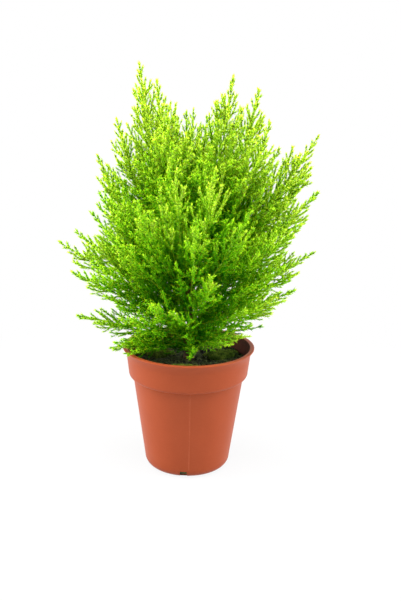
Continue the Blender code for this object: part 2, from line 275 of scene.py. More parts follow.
@dataclass
class Shape:
    """A mesh being put together from arrays: places, faces of three or four corners, and map places."""

    places: list[Array] = field(default_factory=list)
    faces: list[Array] = field(default_factory=list)
    spots: list[Array] = field(default_factory=list)
    smooth: list[Array] = field(default_factory=list)
    slots: list[Array] = field(default_factory=list)
    count: int = 0

    def add(
        self, places: Array, faces: Array, spots: Array | None = None,
        smooth: bool = True, slot: int | Array = 0,
    ) -> None:
        """Adds a block of places and faces.

        Args:
            places: One place a row.
            faces: Three or four row numbers a face, counted within this block.
            spots: Where each place lies on the map, if the piece has one.
            smooth: Whether the faces are shaded smooth.
            slot: The material slot that they wear, or one for each.
        """
        self.places.append(places)
        self.spots.append(np.zeros((len(places), 2)) if spots is None else spots)
        self.join(faces + self.count, smooth, slot)
        self.count += len(places)

    def join(self, faces: Array, smooth: bool = True, slot: int | Array = 0) -> None:
        """Adds faces between places counted over the whole shape.

        Args:
            faces: Three or four row numbers a face.
            smooth: Whether the faces are shaded smooth.
            slot: The material slot that they wear, or one for each.
        """
        self.faces.append(faces)
        self.smooth.append(np.full(len(faces), smooth))
        self.slots.append(np.full(len(faces), slot))

    def build(self, name: str, mapped: bool = False) -> Piece:
        """Makes the object, at the origin, with its place in its mesh.

        Args:
            name: The object's name.
            mapped: Whether the map places become a UV map.

        Returns:
            The new object, linked to the scene.
        """
        places = np.concatenate(self.places).astype(np.float32)
        corners = np.concatenate([block.ravel() for block in self.faces]).astype(np.int32)
        sizes = np.concatenate([np.full(len(block), block.shape[1]) for block in self.faces])
        starts = np.concatenate([[0], np.cumsum(sizes)[:-1]]).astype(np.int32)
        mesh = bpy.data.meshes.new(name)
        mesh.vertices.add(len(places))
        mesh.vertices.foreach_set("co", places.ravel())
        mesh.loops.add(len(corners))
        mesh.loops.foreach_set("vertex_index", corners)
        mesh.polygons.add(len(sizes))
        mesh.polygons.foreach_set("loop_start", starts)
        mesh.polygons.foreach_set("use_smooth", np.concatenate(self.smooth))
        mesh.polygons.foreach_set("material_index", np.concatenate(self.slots).astype(np.int32))
        if mapped:
            spots = np.concatenate(self.spots).astype(np.float32)[corners]
            mesh.uv_layers.new(name=LEAF_MAP).uv.foreach_set("vector", spots.ravel())
        mesh.update(calc_edges=True)
        mesh.validate()
        obj = bpy.data.objects.new(name, mesh)
        bpy.context.scene.collection.objects.link(obj)
        return obj


def triangles(obj: Piece) -> int:
    """How many triangles an object's faces make: each has two fewer than it has corners."""
    return len(obj.data.loops) - 2 * len(obj.data.polygons)


def dress(obj: Piece, materials: list, replaced: tuple[str, ...] = ()) -> Piece:
    """Gives a finished piece its materials and its place in the frame.

    Args:
        obj: The piece.
        materials: Its materials, in the order of its material slots.
        replaced: The frame's nodes that it stands for.

    Returns:
        The piece.
    """
    for material in materials:
        obj.data.materials.append(material)
    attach(obj, BODY)
    if replaced:
        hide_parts(*replaced)
    log.info("%s: %d triangles", obj.name, triangles(obj))
    return obj


def node_places(node: str) -> Array:
    """The vertices of one of the frame's nodes.

    Args:
        node: The node's name.

    Returns:
        One place a row.
    """
    mesh = frame["nodes"][node].data
    places = np.empty(len(mesh.vertices) * 3, np.float32)
    mesh.vertices.foreach_get("co", places)
    return places.reshape(-1, 3).astype(float)


def nodes_named(prefix: str | tuple[str, ...]) -> list[str]:
    """The frame's nodes whose names start so, in order of name."""
    return sorted(name for name in frame["nodes"] if name.startswith(prefix))


# ---------------------------------------------------------------- finishes


@dataclass(frozen=True)
class Wiring:
    """Short ways to add and join nodes in one node tree."""

    tree: bpy.types.NodeTree

    def feed(self, target: Socket, value: object) -> None:
        """Gives an input a value, or links it to an output.

        Args:
            target: The input.
            value: The value or the output.
        """
        if isinstance(value, Socket):
            self.tree.links.new(value, target)
        else:
            target.default_value = value

    def node(self, kind: str, *values: object, **settings: object) -> bpy.types.Node:
        """A new node of that kind, with its settings and with its inputs fed.

        Args:
            kind: The node type's name without its ShaderNode prefix.
            values: What its first inputs take, in order.
            settings: Attributes of the node, or what its inputs take, by their names with underscores.

        Returns:
            The new node.
        """
        made = self.tree.nodes.new("ShaderNode" + kind)
        for name in [name for name in settings if hasattr(made, name)]:
            setattr(made, name, settings.pop(name))
        sockets = {socket.name.replace(" ", "_"): socket for socket in reversed(list(made.inputs))}
        for name, value in settings.items():
            self.feed(sockets[name], value)
        for socket, value in zip(made.inputs, values):
            self.feed(socket, value)
        return made

    def maths(self, operation: str, *values: object) -> Socket:
        """The output of a maths node."""
        return self.node("Math", *values, operation=operation).outputs[0]

    def spread(self, value: Socket, **limits: float) -> Socket:
        """A value mapped from one range to another and held inside it."""
        return self.node("MapRange", Value=value, **limits).outputs["Result"]

    def blend(self, share: Socket, first: Socket, last: Socket) -> Socket:
        """Two colours mixed.

        Args:
            share: How much of the last there is, which is held between nought and one.
            first: The first colour.
            last: The last colour.

        Returns:
            The mixed colour.
        """
        made = self.node("Mix", data_type="RGBA", Factor=share)
        for socket, colour in zip(made.inputs[6:8], (first, last)):
            self.feed(socket, colour)
        return made.outputs[2]

    def leaf_spot(self) -> tuple[Socket, Socket]:
        """Where a place lies on the leaf map.

        Returns:
            How far across it is and how far up.
        """
        place = self.node("UVMap", uv_map=LEAF_MAP).outputs["UV"]
        split = self.node("SeparateXYZ", place).outputs
        return split["X"], split["Y"]

    def any_ray(self, *kinds: str) -> Socket:
        """Tells some kinds of ray from the others.

        Args:
            kinds: The kinds, such as Camera.

        Returns:
            One for a ray of any of these kinds, and nought for others.
        """
        paths = self.node("LightPath").outputs
        seen = paths[f"Is {kinds[0]} Ray"]
        for kind in kinds[1:]:
            seen = self.maths("MAXIMUM", seen, paths[f"Is {kind} Ray"])
        return seen


def new_group(name: str, inputs: dict, outputs: tuple) -> tuple[bpy.types.NodeTree, Wiring, object, object]:
    """A shader node group with named sockets.

    Args:
        name: The group's name.
        inputs: Socket name to default value, which is a colour or a number.
        outputs: (Socket name, default value), of which the value only tells the kind.

    Returns:
        The group, its wiring, its input node's outputs and its output node's inputs.
    """
    tree = bpy.data.node_groups.new(name, "ShaderNodeTree")
    for side, sockets in (("INPUT", tuple(inputs.items())), ("OUTPUT", outputs)):
        for label, value in sockets:
            kind = "NodeSocketColor" if isinstance(value, tuple) else "NodeSocketFloat"
            socket = tree.interface.new_socket(label, in_out=side, socket_type=kind)
            if side == "INPUT":
                socket.default_value = value
    source, sink = tree.nodes.new("NodeGroupInput"), tree.nodes.new("NodeGroupOutput")
    return tree, Wiring(tree), source.outputs, sink.inputs


def grey(value: float) -> tuple[float, float, float, float]:
    """A grey as a socket's value."""
    return (value, value, value, 1.0)


def mottling_group() -> bpy.types.NodeTree:
    """Makes the group that mixes two colours by soft blotches and finer specks in object space.

    Returns:
        The group, which gives the colour and a height that follows it.
    """
    inputs = {
        "Dark": grey(0.1), "Light": grey(0.8), "Blotch Scale": 30.0, "Speck Scale": 400.0, "Contrast": 1.0,
    }
    tree, wiring, source, sink = new_group("mottling", inputs, (("Color", grey(0.5)), ("Height", 0.0)))
    place = wiring.node("TexCoord").outputs["Object"]
    noises = [
        wiring.node("TexNoise", Vector=place, Scale=source[scale], Detail=3.0, Roughness=0.6).outputs["Fac"]
        for scale in ("Blotch Scale", "Speck Scale")
    ]
    both = wiring.maths("ADD", *noises)
    centred = wiring.maths("SUBTRACT", both, 1.0)
    stretched = wiring.maths("MULTIPLY_ADD", centred, source["Contrast"], 0.5)
    wiring.feed(sink["Color"], wiring.blend(stretched, source["Dark"], source["Light"]))
    wiring.feed(sink["Height"], both)
    return tree


def leaf_tone_group() -> bpy.types.NodeTree:
    """Makes the group that colours a leaf by its place on the leaf map: across for its tone, which is its age
    together with painted light and shade for where it grows, and up for lightness.

    Returns:
        The group, which gives the colour.
    """
    inputs = {"Deep": grey(0.1), "Middle": grey(0.3), "Young": grey(0.7), "Variation": 0.3}
    tree, wiring, source, sink = new_group("leaf_tones", inputs, (("Color", grey(0.5)),))
    across, up = wiring.leaf_spot()
    colour = source["Deep"]
    for start, older in ((0.0, "Middle"), (0.5, "Young")):
        share = wiring.spread(across, From_Min=start, From_Max=start + 0.5)
        colour = wiring.blend(share, colour, source[older])
    lift = wiring.spread(up, From_Min=0.0, From_Max=LEAF_BAND, To_Min=-0.5, To_Max=0.5)
    scaled = wiring.maths("MULTIPLY_ADD", lift, source["Variation"], 1.0)
    shade = wiring.node("VectorMath", colour, operation="SCALE", Scale=scaled)
    wiring.feed(sink["Color"], shade.outputs[0])
    return tree


def new_material(name: str, roughness: float, specular: float) -> tuple[Material, Wiring, bpy.types.Node]:
    """A material with a Principled shader.

    Args:
        name: The material's name.
        roughness: The shader's roughness.
        specular: The shader's specular level.

    Returns:
        The material, its wiring and its shader.
    """
    material = bpy.data.materials.new(name)
    material.use_nodes = True
    shader = material.node_tree.nodes["Principled BSDF"]
    shader.inputs["Roughness"].default_value = roughness
    shader.inputs["Specular IOR Level"].default_value = specular
    return material, Wiring(material.node_tree), shader


@dataclass(frozen=True)
class LeafFinish:
    """Waxy scale leaves on brown-green stems, deep green to lemon green by their age and by painted shade in
    the crown's heart and painted light on its outside and top.
    """

    name: str
    deep: Colour
    middle: Colour
    young: Colour
    wood: Colour
    green_stem: Colour
    variation: float
    roughness: float
    glow: float = 0.0
    glow_depth: float = 1.2 * MM
    glow_colour: Colour = (0.8, 1.0, 0.1)
    specular: float = 0.05
    greened_from: float = 0.14

    def material(self, tones: bpy.types.NodeTree) -> Material:
        """The material, with the shared leaf tones and this finish's colours.

        Args:
            tones: The leaf tone group.

        Returns:
            The new material.
        """
        material, wiring, shader = new_material(self.name, self.roughness, self.specular)
        deep, middle, young = ((*colour, 1.0) for colour in (self.deep, self.middle, self.young))
        leaf = wiring.node(
            "Group", node_tree=tones, Deep=deep, Middle=middle, Young=young, Variation=self.variation
        )
        across, up = wiring.leaf_spot()
        stem = wiring.node("ValToRGB", across)
        foot, green = stem.color_ramp.elements
        foot.color, green.color = (*self.wood, 1.0), (*self.green_stem, 1.0)
        green.position = self.greened_from
        woody = wiring.maths("GREATER_THAN", up, (LEAF_BAND + WOOD_BAND) / 2)
        colour = wiring.blend(woody, leaf.outputs["Color"], stem.outputs["Color"])
        wiring.feed(shader.inputs["Base Color"], colour)
        if self.glow > 0:
            shader.inputs["Subsurface Weight"].default_value = self.glow
            shader.inputs["Subsurface Radius"].default_value = self.glow_colour
            shader.inputs["Subsurface Scale"].default_value = self.glow_depth
        return material


@dataclass(frozen=True)
class MottledFinish:
    """A rough or satin surface in two colours, with a fine bump: moulded plastic, soil or bark."""

    name: str
    dark: Colour
    light: Colour
    blotch_scale: float
    speck_scale: float
    contrast: float
    roughness: float
    bump: float
    specular: float
    bump_strength: float = 0.6

    def material(self, mottling: bpy.types.NodeTree) -> Material:
        """The material, with the shared mottling and this finish's colours and scales.

        Args:
            mottling: The mottling group.

        Returns:
            The new material.
        """
        material, wiring, shader = new_material(self.name, self.roughness, self.specular)
        pattern = wiring.node(
            "Group", node_tree=mottling, Dark=(*self.dark, 1.0), Light=(*self.light, 1.0),
            Blotch_Scale=self.blotch_scale, Speck_Scale=self.speck_scale, Contrast=self.contrast,
        ).outputs
        bump = wiring.node("Bump", Strength=self.bump_strength, Distance=self.bump, Height=pattern["Height"])
        wiring.feed(shader.inputs["Base Color"], pattern["Color"])
        wiring.feed(shader.inputs["Normal"], bump.outputs["Normal"])
        return material


# The foliage's deep colour stands mostly for painted shade in the crown's heart, and its young colour partly
# for painted light on the crown's outside and top.
FOLIAGE_FINISH = LeafFinish(
    "lemon_foliage", deep=(0.031, 0.275, 0.001), middle=(0.107, 0.425, 0.003), young=(0.400, 0.660, 0.034),
    wood=(0.110, 0.060, 0.028), green_stem=(0.300, 0.520, 0.030), variation=0.14, roughness=0.60, glow=0.8,
)
MOSS_FINISH = LeafFinish(
    "moss_leaves", deep=(0.030, 0.055, 0.007), middle=(0.170, 0.260, 0.035), young=(0.340, 0.420, 0.060),
    wood=(0.040, 0.025, 0.012), green_stem=(0.050, 0.050, 0.012), variation=0.60, roughness=0.80,
)
PLASTIC_FINISH = MottledFinish(
    "terracotta_plastic", dark=(0.303, 0.053, 0.014), light=(0.366, 0.068, 0.020), blotch_scale=38.0,
    speck_scale=900.0, contrast=0.9, roughness=0.42, bump=0.05 * MM, specular=0.16,
)
# A paler plastic on the mould seam ribs.
PALE_SEAM_FINISH = MottledFinish(
    "scuffed_plastic", dark=(0.315, 0.059, 0.017), light=(0.400, 0.086, 0.034), blotch_scale=60.0,
    speck_scale=900.0, contrast=1.6, roughness=0.60, bump=0.05 * MM, specular=0.16,
)
# Painted shade: the pot's inside, much darker than its outside plastic, for the shade that falls inside it.
SHADED_INSIDE_FINISH = MottledFinish(
    "soil_stained_plastic", dark=(0.060, 0.016, 0.008), light=(0.160, 0.036, 0.016), blotch_scale=70.0,
    speck_scale=600.0, contrast=1.4, roughness=0.70, bump=0.2 * MM, specular=0.20,
)
SOIL_FINISH = MottledFinish(
    "potting_mix", dark=(0.004, 0.004, 0.002), light=(0.095, 0.120, 0.036), blotch_scale=190.0,
    speck_scale=900.0, contrast=3.6, roughness=0.9, bump=0.6 * MM, specular=0.25,
)
BARK_FINISH = MottledFinish(
    "thin_bark", dark=(0.050, 0.028, 0.014), light=(0.170, 0.100, 0.055), blotch_scale=190.0,
    speck_scale=900.0, contrast=2.0, roughness=0.85, bump=0.4 * MM, specular=0.25,
)


# ---------------------------------------------------------------- foliage


@dataclass
class Strands:
    """Twigs as curves with one bend each, one twig a row.

    A twig's place at a share of its way is start times (1 - share) squared, plus bend times twice share times
    (1 - share), plus end times share squared. It is as light as its tone at its foot, and lighter by its gain
    at its tip.
    """

    start: Array
    bend: Array
    end: Array
    radius: Array
    tone: Array
    gain: Array

    def chosen(self, rows: Array) -> "Strands":
        """Only the twigs with these row numbers."""
        return Strands(*(value[rows] for value in vars(self).values()))

    def lengths(self) -> Array:
        """Each twig's length, taken as the mean of its chord and of its two legs together.

        Returns:
            The lengths.
        """
        chord = np.linalg.norm(self.end - self.start, axis=1)
        legs = np.linalg.norm(self.bend - self.start, axis=1) + np.linalg.norm(self.end - self.bend, axis=1)
        return (chord + legs) / 2

    def at(self, rows: Array, share: Array) -> tuple[Array, Array]:
        """Places and unit directions along the twigs.

        Args:
            rows: Which twig each wanted place is on.
            share: How far along it, from 0 to 1.

        Returns:
            The places and the directions.
        """
        t = share[:, None]
        start, bend, end = self.start[rows], self.bend[rows], self.end[rows]
        places = (1 - t) ** 2 * start + 2 * t * (1 - t) * bend + t**2 * end
        return places, unit(2 * (1 - t) * (bend - start) + 2 * t * (end - bend))

    def add_rods(self, shape: Shape, stations: tuple[float, ...], taper: float = 0.0) -> None:
        """Adds each twig as a three-sided rod that thins by the taper, closed at its foot and at its tip.

        Args:
            shape: The mesh that takes them.
            stations: The shares of the way at which a rod has a ring, before it closes at its tip.
            taper: How much of its thickness it would lose over its whole way.
        """
        count, sides, segments = len(self.radius), 3, len(stations)
        share = np.tile(stations, count)
        rows = np.repeat(np.arange(count), segments)
        middles, tangents = self.at(rows, share)
        rings = rings_around(middles, tangents, self.radius[rows] * (1 - taper * share), sides)
        rings = rings.reshape(count, segments * sides, 3)
        places = np.concatenate([rings, self.end[:, None]], axis=1).reshape(-1, 3)
        tip = fan_faces(np.arange(sides) + (segments - 1) * sides, segments * sides, True)
        pattern = np.concatenate([halved(grid_faces(segments, sides)), tip, [[0, 2, 1]]])
        along = np.concatenate([np.repeat(stations, sides), [1.0]])
        across = np.concatenate([np.tile(np.arange(sides) / sides, segments), [0.5]])
        tones = self.tone[:, None] + self.gain[:, None] * along[None] + ROD_MAP_WIDTH * across[None]
        heights = np.broadcast_to(ROD_MAP_PLACE + ROD_MAP_HEIGHT * across, tones.shape)
        shape.add(places, repeated(pattern, count, segments * sides + 1), on_map(tones, heights))

    def side_shoots(
        self, rows: Array, share: Array, spin: Array, lengths: Array,
        opening: Array, closing: Array, rise: float, radius: float,
    ) -> "Strands":
        """Twigs that leave these ones sideways and bend forward.

        Each starts along the parent's direction opened out by one angle, and ends turned back to a smaller
        one, with a little lift towards the light.

        Args:
            rows: The parent of each new twig.
            share: Where on its parent it starts.
            spin: Which side of its parent it leaves from, in radians.
            lengths: Its length.
            opening: The angle between it and its parent at its start, in radians.
            closing: The same at its end.
            rise: How much its end is lifted, as a share of its length.
            radius: Its thickness at its start.

        Returns:
            The new twigs.
        """
        places, tangents = self.at(rows, share)
        outward, _ = frames_along(tangents, spin)
        first, last = (
            tangents * np.cos(turn)[:, None] + outward * np.sin(turn)[:, None] for turn in (opening, closing)
        )
        half = lengths[:, None] / 2
        bend = places + first * half
        end = bend + unit(last + UP * rise) * half
        tone = self.tone[rows] + self.gain[rows] * share
        return Strands(places, bend, end, np.full(len(rows), radius), tone, tone * 0)


# A rod's room on the leaf map: how wide it is, how far up it starts and how high it is. Then a stem's height.
ROD_MAP_WIDTH, ROD_MAP_PLACE, ROD_MAP_HEIGHT = 0.012, 0.3, 0.03
STEM_MAP_HEIGHT = 0.06
# The shares of the way at which rods have rings, and how much of its thickness a long one loses.
BRANCHLET_RINGS, HEART_RINGS, TWIG_RINGS = (0.0, 0.4, 0.85), (0.0, 0.3, 0.6, 0.9), (0.0,)
ROD_TAPER = 0.30
# A leaf's corners are two at its foot, its keel and its tip. Their places on the leaf map go from its own.
LEAF_FACES = np.array([[0, 2, 1], [0, 1, 3], [1, 2, 3], [2, 0, 3]])
# The tip corner is darker by painted shade, which evens out the light the leaf's glow gathers at its tip; the
# other corners are a little lighter.
LEAF_PAINTED_TONES = np.array([0.05, 0.055, 0.03, -0.22])
LEAF_HEIGHTS = np.array([-0.012, 0.012, 0.004, 0.0])


def on_map(tones: Array, heights: Array) -> Array:
    """Places on the leaf map, held inside it, as one row each."""
    return np.stack([np.clip(values, 0.01, 0.99).ravel() for values in (tones, heights)], axis=1)


def spaced(lengths: Array, spacing: float) -> tuple[Array, Array, Array]:
    """Evenly spaced stations along rows of different lengths.

    Args:
        lengths: Each row's length.
        spacing: The distance between stations.

    Returns:
        For each station, its row, its number in that row and its share of the way.
    """
    counts = np.maximum(np.round(lengths / spacing).astype(int), 1)
    rows = np.repeat(np.arange(len(counts)), counts)
    number = np.arange(counts.sum()) - np.repeat(np.cumsum(counts) - counts, counts)
    return rows, number, (number + 0.5) / counts[rows]


def crossed(number: Array) -> Array:
    """Angles of numbered pairs that stand on opposite sides, each a quarter turn on from the pair before."""
    return np.repeat(number, 2) * QUARTER + np.tile([0.0, math.pi], len(number))


@dataclass(frozen=True)
class LeafHabit:
    """How leaves sit on a twig: in pairs, each pair turned a quarter from the last, and a tuft at its tip."""

    spacing: float
    length: float
    width: float
    opening: float
    closing: float
    crowding: float
    tuft: int
    tuft_place: float = 0.94
    tuft_opening: float = 0.35
    tuft_spread: float = 0.5
    tuft_turn: float = 0.6
    angle_jitter: float = 0.12
    spin_jitter: float = 0.25
    tone_jitter: float = 0.03
    keel: float = 0.45
    sizes: tuple[float, float] = (0.80, 1.18)
    map_heights: tuple[float, float] = (0.03, LEAF_BAND - 0.04)

    def add_leaves(self, shape: Shape, twigs: Strands, crown: "Crown", rng: np.random.Generator) -> None:
        """Adds leaves to every twig, each a slim awl of four triangles with its keel outwards.

        Pairs stand at one less a power of one less their even share of the way, so they crowd towards the
        tip. The tuft's leaves share the tip, turned evenly round it and opened by one or the other of two
        small angles. A leaf's foot is two corners half its width to either side of the twig's middle and one
        raised keel corner. Its tip is its length along the direction that leaves the twig at its angle and
        spin.

        Args:
            shape: The mesh that takes them.
            twigs: The twigs that carry them.
            crown: Says how thickly leaves grow at a place.
            rng: Gives each leaf its own turn, size and colour.
        """
        count = len(twigs.radius)
        rows, number, share = spaced(twigs.lengths(), self.spacing)
        rows, share, spin = np.repeat(rows, 2), np.repeat(share, 2), crossed(number)
        share = 1 - (1 - share) ** self.crowding
        angle = self.opening + (self.closing - self.opening) * share
        tuft = np.tile(np.arange(self.tuft), count)
        rows = np.concatenate([rows, np.repeat(np.arange(count), self.tuft)])
        share = np.concatenate([share, np.full(len(tuft), self.tuft_place)])
        angle = np.concatenate([angle, self.closing * (self.tuft_opening + self.tuft_spread * (tuft % 2))])
        angle = angle + rng.normal(0, self.angle_jitter, len(rows))
        start_turn = rng.uniform(0, TURN, count)[rows]
        spin = np.concatenate([spin, tuft * TURN / max(self.tuft, 1) + self.tuft_turn])
        spin = spin + start_turn + rng.normal(0, self.spin_jitter, len(rows))
        foot, tangent = twigs.at(rows, share)
        kept = np.flatnonzero(rng.random(len(rows)) < crown.leafiness_at(foot))
        rows, share, spin, angle, foot, tangent = (v[kept] for v in (rows, share, spin, angle, foot, tangent))
        outward, _ = frames_along(tangent, spin)
        cosine, sine = np.cos(angle)[:, None], np.sin(angle)[:, None]
        along, keel = tangent * cosine + outward * sine, outward * cosine - tangent * sine
        across = unit(np.cross(keel, along))
        size = rng.uniform(*self.sizes, len(rows))
        long = (self.length * size)[:, None]
        wide = (self.width * size * crown.plump_at(foot))[:, None]
        corners = [foot - across * wide / 2, foot + across * wide / 2, foot + keel * wide * self.keel]
        corners = np.stack([*corners, foot + along * long], axis=1).reshape(-1, 3)
        base = twigs.tone[rows] + twigs.gain[rows] * share + rng.normal(0, self.tone_jitter, len(rows))
        height = rng.uniform(*self.map_heights, len(rows))
        spots = on_map(base[:, None] + LEAF_PAINTED_TONES, height[:, None] + LEAF_HEIGHTS)
        shape.add(corners, repeated(LEAF_FACES, len(rows), 4), spots)


STEM_LEAVES = LeafHabit(
    spacing=1.9 * MM, length=3.0 * MM, width=1.15 * MM,
    opening=math.radians(52), closing=math.radians(40), crowding=1.0, tuft=0,
)
BRANCHLET_LEAVES = LeafHabit(
    spacing=1.50 * MM, length=3.3 * MM, width=1.05 * MM,
    opening=math.radians(42), closing=math.radians(26), crowding=1.15, tuft=3,
)
TWIG_LEAVES = LeafHabit(
    spacing=1.55 * MM, length=3.0 * MM, width=1.0 * MM,
    opening=math.radians(40), closing=math.radians(26), crowding=1.15, tuft=3,
)


@dataclass
class Crown:
    """The whole crown's outline, which says how near its outside a place is, and so the painted light and
    shade of its leaves, and what shoots keep clear of.

    A span says where an effect starts and over how much it grows, on the way out or, for the top, upwards.
    """

    # Painted light, added to leaf tones towards the crown's outside, at its outermost tips and on its top;
    # the heart, which gets none, keeps painted shade.
    painted_outer_light: float = 0.55
    outer_span: tuple[float, float] = (0.30, 0.58)
    painted_tip_light: float = 0.14
    tip_span: tuple[float, float] = (0.85, 0.25)
    top_light: float = 0.20
    top_span: tuple[float, float] = (240 * MM, 90 * MM)
    inner_leafiness: float = 0.44
    leafy_span: tuple[float, float] = (0.3, 0.4)
    plumpness: float = 0.35
    plump_span: tuple[float, float] = (0.70, 0.32)
    heart_height: float = 34 * MM
    # Stretched front to back, so the painted shade reaches further out at the front and back than at the
    # sides; plumpness and leafiness follow the same outline.
    outline_scale: tuple[float, float, float] = (0.88, 1.20, 1.0)
    foot_share: float = 0.2
    clearance: float = 1.2 * MM
    looks: int = 7

    def __post_init__(self) -> None:
        """Reads the crown's middle and half widths, and the pot's lip and soil, from the frame."""
        shoots = nodes_named(tuple(reach.prefix for reach in Reach))
        boxes = np.array([[list(corner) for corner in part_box(name)] for name in shoots])
        low, high = boxes[:, 0].min(axis=0), boxes[:, 1].max(axis=0)
        self.lip, self.lip_top = float(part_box("pot")[1].x), float(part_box("pot")[1].z)
        self.soil_top = float(max(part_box(name)[1].z for name in nodes_named("moss")))
        self.heart = np.array([0.0, 0.0, self.soil_top + self.heart_height])
        self.half = np.array([*(high - low)[:2] / 2, high[2] - self.heart[2]]) * self.outline_scale

    def way_out(self, places: Array) -> Array:
        """How far a place is from the crown's shaded heart, as a share of the way to its outside.

        It is the length of the offset from the heart, each axis divided by the crown's half width there.
        """
        return np.linalg.norm((places - self.heart) / self.half, axis=-1)

    def light_at(self, places: Array) -> Array:
        """Painted light and shade for where leaves grow: none added in the heart, which keeps painted shade,
        and the most painted light outside and on top.

        Args:
            places: Where they grow.

        Returns:
            What is added to their tones.
        """
        out = self.way_out(places)
        lifted = self.top_light * smooth_step(places[..., 2], *self.top_span)
        lifted = lifted + self.painted_tip_light * smooth_step(out, *self.tip_span)
        return self.painted_outer_light * smooth_step(out, *self.outer_span) + lifted

    def plump_at(self, places: Array) -> Array:
        """How much thicker a twig or a leaf is for where it grows: one inside, more at the crown's tips."""
        return 1 + self.plumpness * smooth_step(self.way_out(places), *self.plump_span)

    def leafiness_at(self, places: Array) -> Array:
        """The share of leaves that a place keeps: all outside, fewer where the crown shades itself."""
        open_share = smooth_step(self.way_out(places), *self.leafy_span)
        return self.inner_leafiness + (1 - self.inner_leafiness) * open_share

    def paint_light_and_plump(self, twigs: Strands, lift: float = 0.0) -> None:
        """Paints light and shade on twigs by how near they are to the crown's outside, and makes them plumper
        there.

        Args:
            twigs: The twigs, which it changes.
            lift: Painted light added to them all, which is painted shade where it is below nought.
        """
        rows = np.arange(len(twigs.radius))
        places = twigs.at(rows, np.full(len(rows), self.foot_share))[0]
        foot, head = self.light_at(places), self.light_at(twigs.end)
        twigs.radius = twigs.radius * self.plump_at(places)
        twigs.tone = twigs.tone + foot + lift
        twigs.gain = twigs.gain + head - foot

    def clear(self, places: Array) -> Array:
        """Tells whether places are outside the pot, or inside its mouth and above the soil and moss.

        Args:
            places: The places.

        Returns:
            True for each place that is clear.
        """
        radius, height = np.hypot(places[..., 0], places[..., 1]), places[..., 2]
        inside = (radius < self.lip - 4 * self.clearance) & (height > self.soil_top + self.clearance)
        return (height > self.lip_top + self.clearance) | (radius > self.lip + self.clearance) | inside

    def keep_clear(self, twigs: Strands) -> Strands:
        """Leaves out the twigs that would run through the pot, the soil or the moss.

        Args:
            twigs: The twigs.

        Returns:
            Those that are clear wherever they are looked at along their way.
        """
        count, steps = len(twigs.radius), np.linspace(0, 1, self.looks)
        places, _ = twigs.at(np.repeat(np.arange(count), len(steps)), np.tile(steps, count))
        return twigs.chosen(np.flatnonzero(self.clear(places).reshape(count, len(steps)).all(axis=1)))


class Reach(Enum):
    """The groups of shoots, by the start of their nodes' names, with how their branchlets grow.

    The numbers are the longest branchlet, how much branchlets turn up towards the light, and the share of
    their full growth that they have at the shoot's very end, which stays slender if it is low.
    """

    LEADER = ("leader", 40 * MM, 0.20, 0.26)
    SIDE = ("side_shoot", 38 * MM, 0.26, 0.18)
    LOW = ("low_shoot", 34 * MM, 0.28, 0.25)

    def __init__(self, prefix: str, branchlet: float, rise: float, end_growth: float) -> None:
        """Names the group's numbers."""
        self.prefix, self.branchlet, self.rise, self.end_growth = prefix, branchlet, rise, end_growth


# By a branchlet's share of the way up its stem: its opening in degrees, and its closing as a share of that.
OPENINGS = ([0, 0.5, 0.9, 1], [48, 41, 39, 42])
CLOSINGS = ([0, 0.75, 1], [0.22, 0.30, 0.70])


